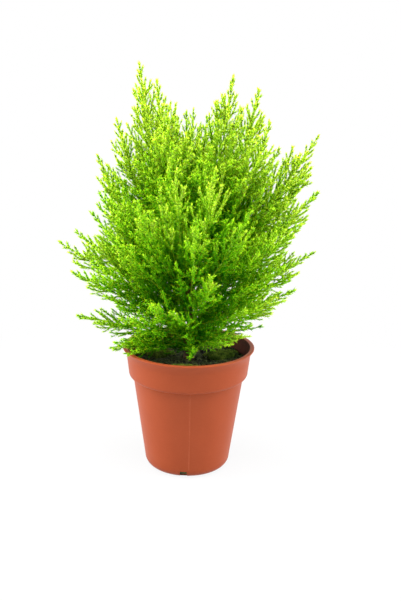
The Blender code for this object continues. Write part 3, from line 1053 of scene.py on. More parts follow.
@dataclass
class LeafyShoot:
    """One shoot of the crown, grown along the middle of its plume in the frame.

    A pair of sizes is the least and the most. A span is where a change starts and over how much it grows.
    """

    node: str
    reach: Reach
    crown: Crown
    seed: int
    openness: float = 1.0
    # painted light over the whole shoot, painted shade where below nought
    lift: float = 0.0
    first_node: float = 3.4 * MM
    node_spacing: float = 5.0 * MM
    node_jitter: float = 0.8 * MM
    node_room: float = 0.95
    node_limits: tuple[float, float] = (1.5 * MM, 0.96)  # the least from the tip, and the most as a share
    fewest_nodes: int = 5
    shortest_branchlet: float = 3.2 * MM
    branchlet_growth: float = 0.53
    slender_end: float = 48 * MM
    branchlet_radius: float = 0.70 * MM
    branchlet_sizes: tuple[float, float] = (0.60, 1.15)
    branchlet_gains: tuple[float, float] = (0.06, 0.08)  # the least, and by how much it varies
    inner_growth: float = 0.55
    growth_span: tuple[float, float] = (0.05, 0.30)
    inner_share: float = 0.7
    share_span: tuple[float, float] = (0.05, 0.35)
    spin_jitter: float = 0.30
    angle_jitter: float = 0.10
    tone_jitter: float = 0.05
    forked_from: float = 14.0 * MM
    twig_spacing: float = 4.6 * MM
    shortest_twig: float = 3.4 * MM
    twig_growth: float = 0.38
    longest_twig: float = 14.0 * MM
    twig_radius: float = 0.66 * MM
    twig_sizes: tuple[float, float] = (0.7, 1.15)
    twig_room: float = 0.9
    twig_span: tuple[float, float] = (0.10, 0.84)  # where on its branchlet the first is, and their room
    twig_margin: float = 4 * MM
    twig_turn: float = math.pi * 0.82
    twig_jitter: float = 0.35
    twig_opening: float = math.radians(38)
    twig_closing: float = 0.45
    twig_rise: float = 0.22
    twig_gain: float = 0.08
    stem_radius: float = 0.85 * MM
    stem_taper: float = 0.72
    stem_sunk: float = 1.5 * MM
    stem_lightening: float = 0.20
    tip_darkening: float = 0.14
    tip_span: tuple[float, float] = (0.78, 0.22)
    stem_sides: int = 5
    stem_rings: int = 33
    bare_share: float = 0.16

    def route(self) -> Array:
        """The middle of the plume, from its joint to its tip.

        Each vertex's share of the way is its place along the line from the joint to the tip, and the route is
        the cubic in that share that lies nearest to all of them and passes through both ends.

        Returns:
            Places along the route, one a row.
        """
        places = node_places(self.node)
        joint = places[np.argmin(np.hypot(places[:, 0], places[:, 1]))]
        tip = places[np.argmax(np.linalg.norm(places - joint, axis=1))]
        chord = tip - joint
        share, fine = (places - joint) @ chord / (chord @ chord), np.linspace(0, 1, 65)
        powers, terms = (np.stack([t * (1 - t), t**2 * (1 - t)], axis=1) for t in (share, fine))
        weights, *_ = np.linalg.lstsq(powers, places - joint - share[:, None] * chord, rcond=None)
        return joint + fine[:, None] * chord + terms @ weights

    def spine(self, route: Array) -> Strands:
        """The route as a chain of short one-bend curves, so that twigs can grow from any of them.

        Args:
            route: Places along it.

        Returns:
            The chain, from the joint to the tip.
        """
        starts, ends = route[:-2:2], route[2::2]
        bends = 2 * route[1:-1:2] - (starts + ends) / 2
        share = np.arange(len(starts) + 1) / len(starts)
        tone = self.stem_lightening * share - self.tip_darkening * smooth_step(share, *self.tip_span)
        radius = self.stem_radius * (1 - self.stem_taper * share[:-1])
        return Strands(starts, bends, ends, radius, tone[:-1], np.diff(tone))

    def build(self, materials: list) -> Piece:
        """Grows the shoot: its stem, branchlets in crossed pairs, twigs on the branchlets, and their leaves.

        Args:
            materials: The foliage material.

        Returns:
            The finished piece.
        """
        rng = np.random.default_rng(self.seed)
        shape = Shape()
        route = self.route()
        spine = self.spine(route)
        self.add_stem(shape, route)
        length = float(np.linalg.norm(np.diff(route, axis=0), axis=1).sum())
        branchlets = self.crown.keep_clear(self.branchlets(spine, length, rng))
        twigs = self.crown.keep_clear(self.twigs(branchlets, rng))
        bare = int(len(spine.radius) * self.bare_share)
        leafy = spine.chosen(np.arange(bare, len(spine.radius)))
        for strands in (leafy, branchlets, twigs):
            self.crown.paint_light_and_plump(strands, self.lift)
        branchlets.add_rods(shape, BRANCHLET_RINGS, ROD_TAPER)
        twigs.add_rods(shape, TWIG_RINGS)
        for strands, habit in ((leafy, STEM_LEAVES), (branchlets, BRANCHLET_LEAVES), (twigs, TWIG_LEAVES)):
            habit.add_leaves(shape, strands, self.crown, rng)
        log.info("%s: %d branchlets, %d twigs", self.node, len(branchlets.radius), len(twigs.radius))
        return self.finish(shape, materials)

    def finish(self, shape: Shape, materials: list) -> Piece:
        """Makes the piece that stands for the shoot's plume."""
        return dress(shape.build(self.node + "_foliage", mapped=True), materials, (self.node,))

    def add_stem(self, shape: Shape, route: Array) -> None:
        """Adds the stem as a tube that thins to its tip, its foot sunk a little into the trunk.

        Args:
            shape: The mesh that takes it.
            route: Its middle.
        """
        sides, count = self.stem_sides, self.stem_rings
        picked = route[np.linspace(0, len(route) - 1, count).astype(int)]
        tangents = unit(np.gradient(picked, axis=0))
        picked[0] -= tangents[0] * self.stem_sunk
        share = np.linspace(0, 1, count)
        radius = self.stem_radius * (1 - self.stem_taper * share)
        rings = rings_around(picked, tangents, radius, sides).reshape(-1, 3)
        places = np.concatenate([rings, picked[:1], picked[-1:] + tangents[-1:] * MM])
        tones = np.concatenate([np.repeat(share, sides), [0.0, 1.0]])
        around = np.concatenate([np.tile(np.arange(sides) / sides, count), [0.5, 0.5]])
        shape.add(places, closed_faces(count, sides), on_map(tones, WOOD_BAND + STEM_MAP_HEIGHT * around))

    def branchlets(self, spine: Strands, length: float, rng: np.random.Generator) -> Strands:
        """Side branchlets in crossed pairs: short at the tip, longest below it, few next to the trunk.

        Args:
            spine: The stem as a chain of curves.
            length: The stem's length.
            rng: Gives each branchlet its own place, length and turn.

        Returns:
            The branchlets.
        """
        spacing = self.node_spacing * self.openness
        count = max(int((length * self.node_room - self.first_node) / spacing), self.fewest_nodes)
        number = np.arange(count)
        from_tip = np.repeat(self.first_node + number * spacing, 2)
        from_tip = from_tip + rng.normal(0, self.node_jitter, 2 * count)
        from_tip = np.clip(from_tip, self.node_limits[0], length * self.node_limits[1])
        share = 1 - from_tip / length
        end_growth, longest = self.reach.end_growth, self.reach.branchlet
        vigour = end_growth + (1 - end_growth) * smooth_step(from_tip, 0.0, self.slender_end)
        grown = np.minimum(self.shortest_branchlet + self.branchlet_growth * from_tip * vigour, longest)
        shaded = self.inner_growth + (1 - self.inner_growth) * smooth_step(share, *self.growth_span)
        lengths = grown * shaded * rng.uniform(*self.branchlet_sizes, len(share))
        likely = self.inner_share + (1 - self.inner_share) * smooth_step(share, *self.share_span)
        chosen = np.flatnonzero(rng.random(len(share)) < likely)
        spin = crossed(number) + rng.normal(0, self.spin_jitter, len(share))
        opening = np.radians(np.interp(share, *OPENINGS)) + rng.normal(0, self.angle_jitter, len(share))
        closing = opening * np.interp(share, *CLOSINGS) * rng.uniform(0.75, 1.2, len(share))
        at = share * len(spine.radius)
        rows = np.minimum(at.astype(int), len(spine.radius) - 1)
        values = (value[chosen] for value in (rows, at - rows, spin, lengths, opening, closing))
        made = spine.side_shoots(*values, rise=self.reach.rise, radius=self.branchlet_radius)
        made.gain = self.branchlet_gains[0] + self.branchlet_gains[1] * rng.random(len(chosen))
        made.tone = made.tone + rng.normal(0, self.tone_jitter, len(chosen))
        return made

    def twigs(self, branchlets: Strands, rng: np.random.Generator) -> Strands:
        """Fine twigs along the branchlets, on alternate sides, shortening to each branchlet's tip.

        Args:
            branchlets: What carries them.
            rng: Gives each twig its own length and turn.

        Returns:
            The twigs.
        """
        lengths = branchlets.lengths()
        rows, number, share = spaced(lengths * self.twig_room, self.twig_spacing * self.openness)
        share = self.twig_span[0] + self.twig_span[1] * share
        left = lengths[rows] * (1 - share)
        kept = (lengths[rows] > self.forked_from) & (left > self.twig_margin)
        rows, number, share, left = (values[kept] for values in (rows, number, share, left))
        grown = np.minimum(self.shortest_twig + self.twig_growth * left, self.longest_twig)
        grown = grown * rng.uniform(*self.twig_sizes, len(rows))
        plane = rng.uniform(0, TURN, len(lengths))[rows]
        spin = plane + number * self.twig_turn + rng.normal(0, self.twig_jitter, len(rows))
        opening = self.twig_opening + rng.normal(0, self.angle_jitter, len(rows))
        closing = opening * self.twig_closing
        made = branchlets.side_shoots(
            rows, share, spin, grown, opening, closing, rise=self.twig_rise, radius=self.twig_radius
        )
        made.gain = np.full(len(rows), self.twig_gain)
        return made


@dataclass(frozen=True)
class Gap:
    """Room between two plumes, and the shoot that fills it.

    It says how far across the room the shoot runs, how long and how open it is, how much painted light it
    takes, which is painted shade where below nought, and how far its tip droops.
    """

    first: str
    second: str
    between: float
    length: float
    openness: float
    lift: float = 0.0
    drop: float = 0.0


@dataclass
class FillerShoot(LeafyShoot):
    """A shoot that fills the room between two plumes: its route lies between theirs and can droop."""

    gap: Gap | None = None

    def route(self) -> Array:
        """The weighted mean of both plumes' routes, scaled from its joint, less its drop times share squared.

        Returns:
            Places along the route, one a row.
        """
        gap = self.gap
        first, second = (
            LeafyShoot(node, self.reach, self.crown, self.seed).route() for node in (gap.first, gap.second)
        )
        route = first * (1 - gap.between) + second * gap.between
        route = route[:1] + (route - route[:1]) * gap.length
        route[:, 2] -= gap.drop * np.linspace(0, 1, len(route)) ** 2
        return route

    def finish(self, shape: Shape, materials: list) -> Piece:
        """Makes the piece, which stands for no plume of the frame."""
        return dress(shape.build(f"filler_{self.seed:02d}_foliage", mapped=True), materials)


@dataclass
class HeartTwigs:
    """Short shaded shoots straight from the trunk, which close the heart of the crown."""

    crown: Crown
    seed: int = 71
    count: int = 112
    lowest: float = 4 * MM
    highest: float = 150 * MM
    shortest: float = 16 * MM
    longest: float = 62 * MM
    crowding_down: float = 1.4
    step_round: float = math.radians(137.5)
    turn_jitter: float = 0.2
    spin_jitter: float = 0.3
    angle_jitter: float = 0.1
    rises: tuple[float, float] = (0.1, 0.7)
    end_rise: float = 0.5
    tip_gains: tuple[float, float] = (0.10, 0.12)  # of the shoots, and of their twigs
    fork_spacing: float = 4.6 * MM
    shortest_twig: float = 4 * MM
    twig_growth: float = 0.5
    longest_twig: float = 14 * MM
    twig_sizes: tuple[float, float] = (0.7, 1.15)
    twig_opening: float = math.radians(46)
    twig_closing: float = 0.5
    twig_rise: float = 0.2
    radius: float = 0.7 * MM

    def shoots(self, rng: np.random.Generator) -> Strands:
        """The shoots: each leaves the trunk outwards and bends up.

        Args:
            rng: Gives each shoot its own height, turn and length.

        Returns:
            The shoots, one a row.
        """
        count, still = self.count, np.zeros(self.count)
        up = rng.random(count) ** self.crowding_down
        height = self.crown.soil_top + self.lowest + (self.highest - self.lowest) * up
        turn = np.arange(count) * self.step_round + rng.normal(0, self.turn_jitter, count)
        outward = np.stack([np.cos(turn), np.sin(turn), still], axis=1)
        start_rise, end_rise = rng.uniform(*self.rises, (2, count, 1)) + [[[0.0]], [[self.end_rise]]]
        half = (rng.uniform(self.shortest, self.longest, count) / 2)[:, None]
        start = np.stack([still, still, height], axis=1)
        bend = start + unit(outward + UP * start_rise) * half
        end = bend + unit(outward + UP * end_rise) * half
        return Strands(start, bend, end, np.full(count, self.radius), still, still + self.tip_gains[0])

    def build(self, materials: list) -> Piece:
        """Grows the shoots, with side twigs along each and leaves on them all.

        Args:
            materials: The foliage material.

        Returns:
            The finished piece.
        """
        rng = np.random.default_rng(self.seed)
        shoots = self.shoots(rng)
        rows, number, share = spaced(shoots.lengths(), self.fork_spacing)
        rows, share = np.repeat(rows, 2), np.repeat(share, 2)
        spin = crossed(number) + rng.normal(0, self.spin_jitter, len(rows))
        grown = self.shortest_twig + self.twig_growth * (1 - share) * shoots.lengths()[rows]
        grown = np.minimum(grown, self.longest_twig) * rng.uniform(*self.twig_sizes, len(rows))
        opening = self.twig_opening + rng.normal(0, self.angle_jitter, len(rows))
        closing = opening * self.twig_closing
        twigs = shoots.side_shoots(rows, share, spin, grown, opening, closing, self.twig_rise, self.radius)
        twigs.gain = twigs.gain + self.tip_gains[1]
        shape = Shape()
        for grown_ones, stations in ((shoots, HEART_RINGS), (twigs, TWIG_RINGS)):
            strands = self.crown.keep_clear(grown_ones)
            self.crown.paint_light_and_plump(strands)
            strands.add_rods(shape, stations, ROD_TAPER)
            BRANCHLET_LEAVES.add_leaves(shape, strands, self.crown, rng)
        return dress(shape.build("heart_twigs", mapped=True), materials)


# ---------------------------------------------------------------- pot, soil, moss and trunk


def arc(middle: tuple, radii: tuple, start: float, end: float, steps: int) -> Array:
    """Points on part of an ellipse in the profile's plane, both ends included.

    A point at an angle, in degrees, lies at the middle plus the radii times its cosine and sine.
    """
    turns = np.radians(np.linspace(start, end, steps + 1))
    return np.stack([middle[0] + radii[0] * np.cos(turns), middle[1] + radii[1] * np.sin(turns)], axis=1)


def between(first: tuple, last: tuple, steps: int) -> Array:
    """Points on the straight line between two profile points, both ends left out."""
    share = (np.arange(steps) + 1.0)[:, None] / (steps + 1)
    return np.asarray(first) * (1 - share) + np.asarray(last) * share


SEAM_ANGLE = math.radians(-87)
SEAM_SIZE = (1.4 * MM, 0.08 * MM)
SEAM_SECTION = np.array([[-0.5, -0.4], [0.5, -0.4], [0.0, 1.0]]) * SEAM_SIZE
SEAM_STEPS = 24
DRAIN_COUNT = 4
NOTCH_FIRST_ANGLE = math.radians(-94)
NOTCH_SIZE = (9 * MM, 6.5 * MM, 14 * MM)
NOTCH_RADIUS = 37 * MM
HOLE_RADIUS = 3.5 * MM
HOLE_CIRCLE_RADIUS = 22 * MM
HOLE_SIDES = 32
SHARP_FROM = math.radians(38)


@dataclass
class Pot:
    """The nursery pot: a thin turned shell with a collar, a rolled lip, mould seams and drain openings."""

    lip_height: float = 1.2 * MM
    lip_roll: float = 0.5 * MM
    collar_top: float = 57.3 * MM
    collar_foot: float = 54.7 * MM
    collar_foot_z: float = 91.0 * MM
    body_top: float = 50.6 * MM
    body_top_z: float = 86.5 * MM
    base: float = 39.5 * MM
    base_middle: float = 4 * MM
    rounding: float = 8.5 * MM
    wall: float = 1.3 * MM
    sides: int = 144
    # the rows just inside the lip that keep the outside plastic, above the painted shade
    unshaded_rows: int = 2

    def __post_init__(self) -> None:
        """Reads the lip's radius and height from the frame."""
        self.lip, self.height = float(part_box("pot")[1].x), float(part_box("pot")[1].z)

    def profile(self) -> tuple[Array, int]:
        """The section, from the middle of the underside, up the outside, over the lip and down the inside.

        It is lines and arcs: a rounded base corner, a straight taper, a quarter-round step out to the collar,
        a straight collar and a flat lip with small rounds at its edges.

        Returns:
            The section's points, and the number of the point at which the inside starts.
        """
        base_in, lip_foot = self.base - self.rounding, self.height - self.lip_height
        step = (self.collar_foot - self.body_top, self.body_top_z - self.collar_foot_z)
        wall, roll, step_top = self.wall, self.lip_roll, self.collar_foot_z + self.wall
        outside = [
            between((self.base_middle, 0), (base_in, 0), 3),
            arc((base_in, self.rounding), (self.rounding, self.rounding), -90, 0, 8),
            between((self.base, self.rounding), (self.body_top, self.body_top_z), 9),
            arc((self.body_top, self.collar_foot_z), step, 90, 0, 7),
            between((self.collar_foot, self.collar_foot_z), (self.collar_top, lip_foot), 4),
            np.array([[self.lip - roll, lip_foot]]),
            arc((self.lip - roll, lip_foot + roll), (roll, roll), -60, 0, 3),
            arc((self.lip - roll, self.height - roll), (roll, roll), 10, 90, 5),
        ]
        inside = [
            arc((self.collar_top - wall + roll, self.height - roll), (roll, roll), 95, 180, 5),
            between((self.collar_top - wall, lip_foot), (self.collar_foot - wall, step_top), 4),
            arc((self.body_top - wall, step_top), step, 0, 90, 5),
            between((self.body_top - wall, self.body_top_z + wall), (self.base - wall, self.rounding), 5),
            arc((base_in, self.rounding), (self.rounding - wall, self.rounding - wall), 0, -90, 5),
        ]
        return np.concatenate(outside + inside), sum(len(stretch) for stretch in outside)

    def build(self, plastic: Material, stained: Material) -> Piece:
        """Turns the profile, closes both poles and cuts the drain openings.

        Args:
            plastic: The plastic outside and on the lip.
            stained: The plastic inside, darkened by painted shade for the shade that falls inside the pot.

        Returns:
            The finished piece.
        """
        profile, inside_from = self.profile()
        walls = turned(profile[:, 0], profile[:, 1], self.sides).reshape(-1, 3)
        # the inside below those rows wears the plastic darkened by painted shade
        inner = np.arange(len(profile) - 1) > inside_from + self.unshaded_rows
        shape = Shape()
        shape.add(
            np.concatenate([walls, [[0, 0, 0], [0, 0, self.wall]]]), grid_faces(len(profile), self.sides),
            slot=np.repeat(inner, self.sides).astype(int),
        )
        for slot, fan in enumerate(end_fans(len(profile), self.sides)):
            shape.join(fan, slot=slot)
        obj = shape.build("pot_shell")
        for material in (plastic, stained):
            obj.data.materials.append(material)
        cut_openings(obj, self.wall)
        return dress(obj, [], ("pot",))

    def build_seams(self, plastic: Material) -> Piece:
        """Makes the two faint ribs that the halves of the mould leave down the body, one on each side.

        A rib is a low triangle carried down the body's straight taper: its ridge stands proud of the wall,
        its two edges lie a little inside it.

        Args:
            plastic: What they are made of.

        Returns:
            The finished piece.
        """
        heights = np.linspace(self.rounding, self.body_top_z, SEAM_STEPS)
        taper = (self.body_top - self.base) * (heights - self.rounding) / (self.body_top_z - self.rounding)
        ends = np.array([[0, 2, 1], [1, 2, 0]]) + [[0], [3 * (SEAM_STEPS - 1)]]
        faces = np.concatenate([halved(grid_faces(SEAM_STEPS, 3)), ends])
        shape = Shape()
        for turn in (SEAM_ANGLE, SEAM_ANGLE + math.pi):
            outward = np.array([math.cos(turn), math.sin(turn), 0.0])
            middle = (self.base + taper)[:, None] * outward + heights[:, None] * UP
            across = SEAM_SECTION[:, :1] * np.cross(UP, outward)
            places = middle[:, None] + across + SEAM_SECTION[:, 1:] * outward
            shape.add(places.reshape(-1, 3), faces, smooth=False)
        return dress(shape.build("mould_seams"), [plastic])


def box_shape(size: tuple, middle: tuple, turn: float) -> Shape:
    """A box turned about the upright axis.

    Args:
        size: Its three sizes.
        middle: Where its middle is.
        turn: How far it is turned, in radians.

    Returns:
        The box.
    """
    signs = np.array([[x, y, z] for z in (-1, 1) for x, y in ((-1, -1), (1, -1), (1, 1), (-1, 1))])
    corners = (signs * size / 2) @ np.array(Matrix.Rotation(turn, 3, "Z")).T + middle
    shape = Shape()
    shape.add(corners, np.concatenate([grid_faces(2, 4), [[3, 2, 1, 0], [4, 5, 6, 7]]]), smooth=False)
    return shape


def rod_shape(radius: float, length: float, middle: tuple) -> Shape:
    """An upright rod.

    Args:
        radius: Its radius.
        length: Its length.
        middle: Where its middle is.

    Returns:
        The rod.
    """
    ends = np.array([-length / 2, length / 2])
    walls = turned(np.full(2, radius), ends, HOLE_SIDES).reshape(-1, 3)
    shape = Shape()
    shape.add(np.concatenate([walls, ends[:, None] * UP]) + middle, grid_faces(2, HOLE_SIDES))
    for fan in end_fans(2, HOLE_SIDES):
        shape.join(fan, smooth=False)
    return shape


def cut_openings(obj: Piece, wall: float) -> None:
    """Cuts the drain notches and holes through the base, and keeps the result as the object's mesh.

    Args:
        obj: The pot.
        wall: Its wall's thickness.
    """
    cutters = []
    for index in range(DRAIN_COUNT):
        angle = NOTCH_FIRST_ANGLE + TURN * index / DRAIN_COUNT
        notch = (NOTCH_RADIUS * math.cos(angle), NOTCH_RADIUS * math.sin(angle), 0.0)
        cutters.append(box_shape(NOTCH_SIZE, notch, angle).build(f"notch_cutter_{index}"))
        halfway = angle + math.pi / DRAIN_COUNT
        hole = (HOLE_CIRCLE_RADIUS * math.cos(halfway), HOLE_CIRCLE_RADIUS * math.sin(halfway), wall / 2)
        cutters.append(rod_shape(HOLE_RADIUS, 4 * wall, hole).build(f"hole_cutter_{index}"))
    for cutter in cutters:
        modifier = obj.modifiers.new(cutter.name, "BOOLEAN")
        modifier.operation = "DIFFERENCE"
        modifier.object = cutter
    evaluated = obj.evaluated_get(bpy.context.evaluated_depsgraph_get())
    finished = bpy.data.meshes.new_from_object(evaluated)
    obj.modifiers.clear()
    obj.data = finished
    finished.set_sharp_from_angle(angle=SHARP_FROM)
    for cutter in cutters:
        bpy.data.objects.remove(cutter, do_unlink=True)


GOLDEN = (1 + math.sqrt(5)) / 2
BALL = unit(np.array([
    [-1, GOLDEN, 0], [1, GOLDEN, 0], [-1, -GOLDEN, 0], [1, -GOLDEN, 0],
    [0, -1, GOLDEN], [0, 1, GOLDEN], [0, -1, -GOLDEN], [0, 1, -GOLDEN],
    [GOLDEN, 0, -1], [GOLDEN, 0, 1], [-GOLDEN, 0, -1], [-GOLDEN, 0, 1],
]))
BALL_FACES = np.array([
    [0, 11, 5], [0, 5, 1], [0, 1, 7], [0, 7, 10], [0, 10, 11], [1, 5, 9], [5, 11, 4], [11, 10, 2], [10, 7, 6],
    [7, 1, 8], [3, 9, 4], [3, 4, 2], [3, 2, 6], [3, 6, 8], [3, 8, 9], [4, 9, 5], [2, 4, 11], [6, 2, 10],
    [8, 6, 7], [9, 8, 1],
])
SAME_LEVEL = 1e-5  # a node's places nearer than this in height are one ring


def levels_of(places: Array) -> tuple[Array, list[Array]]:
    """A node's places sorted by height.

    Args:
        places: One place a row.

    Returns:
        Their heights, each once and rising, and the places at each.
    """
    heights = np.unique(np.round(places[:, 2], 5))
    return heights, [places[np.abs(places[:, 2] - height) < SAME_LEVEL] for height in heights]


@dataclass
class RootBall:
    """The potting mix: a turned block with an uneven crumbly top, and loose crumbs lying on it."""

    edge_drop: float = 1.2 * MM
    edge_width: float = 0.10
    edge_gap: float = 0.5 * MM
    level_drop: float = 0.9 * MM
    lump_sizes: tuple[float, float, float] = (17 * MM, 4.5 * MM, 1.9 * MM)  # coarse, fine and finest
    lump_heights: tuple[float, float, float] = (1.1 * MM, 0.40 * MM, 0.22 * MM)
    lump_seed: int = 11
    sides: int = 120
    rings: int = 44
    crumbs: int = 700
    crumb_margin: float = 2.5 * MM
    crumb_sizes: tuple[float, float] = (0.35, 2.6)
    crumb_stretch: tuple[float, float] = (0.45, 1.25)
    crumb_seed: int = 21

    def __post_init__(self) -> None:
        """Reads the block's outline from the frame: the widest radius at each height of its outside."""
        low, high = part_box("root_ball")
        self.bottom, self.top = float(low.z), float(high.z)
        heights, rings = levels_of(node_places("root_ball"))
        widest = np.array([np.hypot(ring[:, 0], ring[:, 1]).max() for ring in rings])
        outside = widest > 0.3 * widest.max()
        self.outline = np.stack([widest[outside], heights[outside]], axis=1)

    def top_height(self, x: Array, y: Array) -> Array:
        """How high the soil is: its level, plus coarse and fine lumps, less a dip at the wall.

        Args:
            x: The places' x.
            y: The places' y.

        Returns:
            Their heights.
        """
        flat = np.stack([x, y, np.zeros_like(x)], axis=-1)
        coarse, fine, finest = (
            lumps(flat, size, self.lump_seed + number) * height
            for number, (size, height) in enumerate(zip(self.lump_sizes, self.lump_heights))
        )
        edge = smooth_step(np.hypot(x, y) / self.outline[-1, 0], 1 - self.edge_width, self.edge_width)
        return self.top - self.level_drop + coarse + (fine + finest) - edge * self.edge_drop

    def build(self, soil: Material) -> Piece:
        """Makes the block: its outside from the outline, its top as a disc pushed up and down.

        Args:
            soil: The potting mix.

        Returns:
            The finished piece.
        """
        radii = np.linspace(1, 0, self.rings + 1)[:-1] * self.outline[-1, 0]
        disc = radii[:, None, None] * circle(self.sides)
        heights = self.top_height(disc[..., 0], disc[..., 1])
        top = np.concatenate([disc, heights[..., None]], axis=-1)
        wall_top = np.minimum(self.outline[:-1, 1], heights[0].min() - self.edge_gap)
        rows = np.concatenate([turned(self.outline[:-1, 0], wall_top, self.sides), top])
        peak = self.top_height(np.zeros(1), np.zeros(1))[0]
        poles = [[0, 0, self.bottom], [0, 0, peak]]
        shape = Shape()
        shape.add(np.concatenate([rows.reshape(-1, 3), poles]), closed_faces(len(rows), self.sides))
        return dress(shape.build("potting_mix_block"), [soil], ("root_ball",))

    def build_crumbs(self, soil: Material) -> Piece:
        """Scatters crumbs of peat and bark over the top, each a squashed block with knocked corners.

        A crumb is a twelve-cornered ball whose corners move in and out by chance, scaled and turned.

        Args:
            soil: What they are made of.

        Returns:
            The finished piece.
        """
        rng = np.random.default_rng(self.crumb_seed)
        count = self.crumbs
        reach = (self.outline[-1, 0] - self.crumb_margin) * np.sqrt(rng.random(count))
        turn = rng.uniform(0, TURN, count)
        x, y = reach * np.cos(turn), reach * np.sin(turn)
        size = rng.gamma(2.2, 0.42, count).clip(*self.crumb_sizes)[:, None] * MM
        stretch = size * rng.uniform(*self.crumb_stretch, (count, 3))
        balls = BALL * rng.uniform(0.7, 1.2, (count, len(BALL), 1)) * stretch[:, None]
        basis, _ = np.linalg.qr(rng.normal(size=(count, 3, 3)))
        basis[:, :, 2] *= np.sign(np.linalg.det(basis))[:, None]
        balls = np.einsum("nij,nkj->nki", basis, balls)
        centre = np.stack([x, y, self.top_height(x, y) + 0.25 * size[:, 0]], axis=1)
        shape = Shape()
        faces = repeated(BALL_FACES, count, len(BALL))
        shape.add((balls + centre[:, None]).reshape(-1, 3), faces, smooth=False)
        return dress(shape.build("soil_crumbs"), [soil])


@dataclass
class MossCushion:
    """A cushion of moss: a low lumpy dome, furred with short upright leaves."""

    node: str
    seed: int
    tufts: int = 2300
    tuft_length: float = 1.5 * MM
    tuft_radius: float = 0.34 * MM
    tuft_depth: float = 0.3 * MM
    tuft_sizes: tuple[float, float] = (0.5, 1.2)
    lean: float = 0.45
    sunk: float = 1.5 * MM
    raised: float = 1.0 * MM
    bump_size: float = 6 * MM
    bump_height: float = 0.55 * MM
    rings: int = 14
    sides: int = 48

    def __post_init__(self) -> None:
        """Reads the outline of the cushion's foot, and its height, from the frame."""
        places = node_places(self.node)
        low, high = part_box(self.node)
        self.low, self.tall = low.z, high.z - low.z
        foot = places[np.abs(places[:, 2] - low.z) < 0.1 * MM]
        self.middle = foot.mean(axis=0)
        offset = foot - self.middle
        angle = np.arctan2(offset[:, 1], offset[:, 0])
        order = np.argsort(angle)
        self.angles, self.reach = angle[order], np.hypot(offset[order, 0], offset[order, 1])

    def surface(self, turn: Array, share: Array) -> Array:
        """The dome's surface at an angle and a share of the way out.

        Its radius at an angle is read from the node's foot. Its height over the foot falls from the middle to
        the edge as the square root of one less the square of the share.

        Args:
            turn: The angles.
            share: The shares of the way from the middle to the edge.

        Returns:
            The places.
        """
        radius = np.interp(turn, self.angles, self.reach, period=TURN)
        x = self.middle[0] + radius * share * np.cos(turn)
        y = self.middle[1] + radius * share * np.sin(turn)
        rise = np.sqrt(np.clip(1 - share**2, 0, 1))
        flat = np.stack([x, y, np.zeros_like(x)], axis=-1)
        bumps = lumps(flat, self.bump_size, self.seed) * self.bump_height * rise
        return np.stack([x, y, self.low - self.sunk + (self.tall + self.raised) * rise + bumps], axis=-1)

    def build(self, material: Material) -> Piece:
        """Makes the dome, and sets leaves all over it.

        Args:
            material: The moss.

        Returns:
            The finished piece.
        """
        turns = np.linspace(-math.pi, math.pi, self.sides, endpoint=False)
        share = np.linspace(1, 0, self.rings + 1)[:-1]
        grid = self.surface(np.tile(turns, self.rings), np.repeat(share, self.sides))
        count = len(grid)
        bottom = [[*self.middle[:2], grid[:, 2].min() - 0.2 * MM]]
        dome = np.concatenate([grid, self.surface(np.zeros(1), np.zeros(1)), bottom])
        foot, head = end_fans(self.rings, self.sides, (count + 1, count))
        faces = np.concatenate([halved(grid_faces(self.rings, self.sides)), head, foot])
        tone = 0.10 + 0.05 * lumps(dome, 5 * MM, self.seed + 1)
        height = 0.4 + 0.2 * lumps(dome, 3 * MM, self.seed + 2)
        shape = Shape()
        shape.add(dome, faces, on_map(tone, height))
        self.tuft_leaves().add_rods(shape, TWIG_RINGS)
        return dress(shape.build(self.node + "_cushion", mapped=True), [material], (self.node,))

    def tuft_leaves(self) -> Strands:
        """The dome's leaves: each starts just under the surface and leans a little out of the upright.

        Returns:
            The leaves, as short straight twigs.
        """
        rng = np.random.default_rng(self.seed)
        turn = rng.uniform(-math.pi, math.pi, self.tufts)
        out = np.sqrt(rng.random(self.tufts)) * 1.04
        places = self.surface(turn, np.minimum(out, 1.0))
        lean = rng.normal(0, self.lean, (self.tufts, 3)) + UP
        tips = places + unit(lean) * (self.tuft_length * rng.uniform(*self.tuft_sizes, self.tufts))[:, None]
        patch = 0.42 + 0.30 * lumps(places, 7 * MM, self.seed + 3)
        radius, gain = np.full(self.tufts, self.tuft_radius), np.full(self.tufts, 0.5)
        return Strands(places - UP * self.tuft_depth, (places + tips) / 2, tips, radius, patch - 0.2, gain)


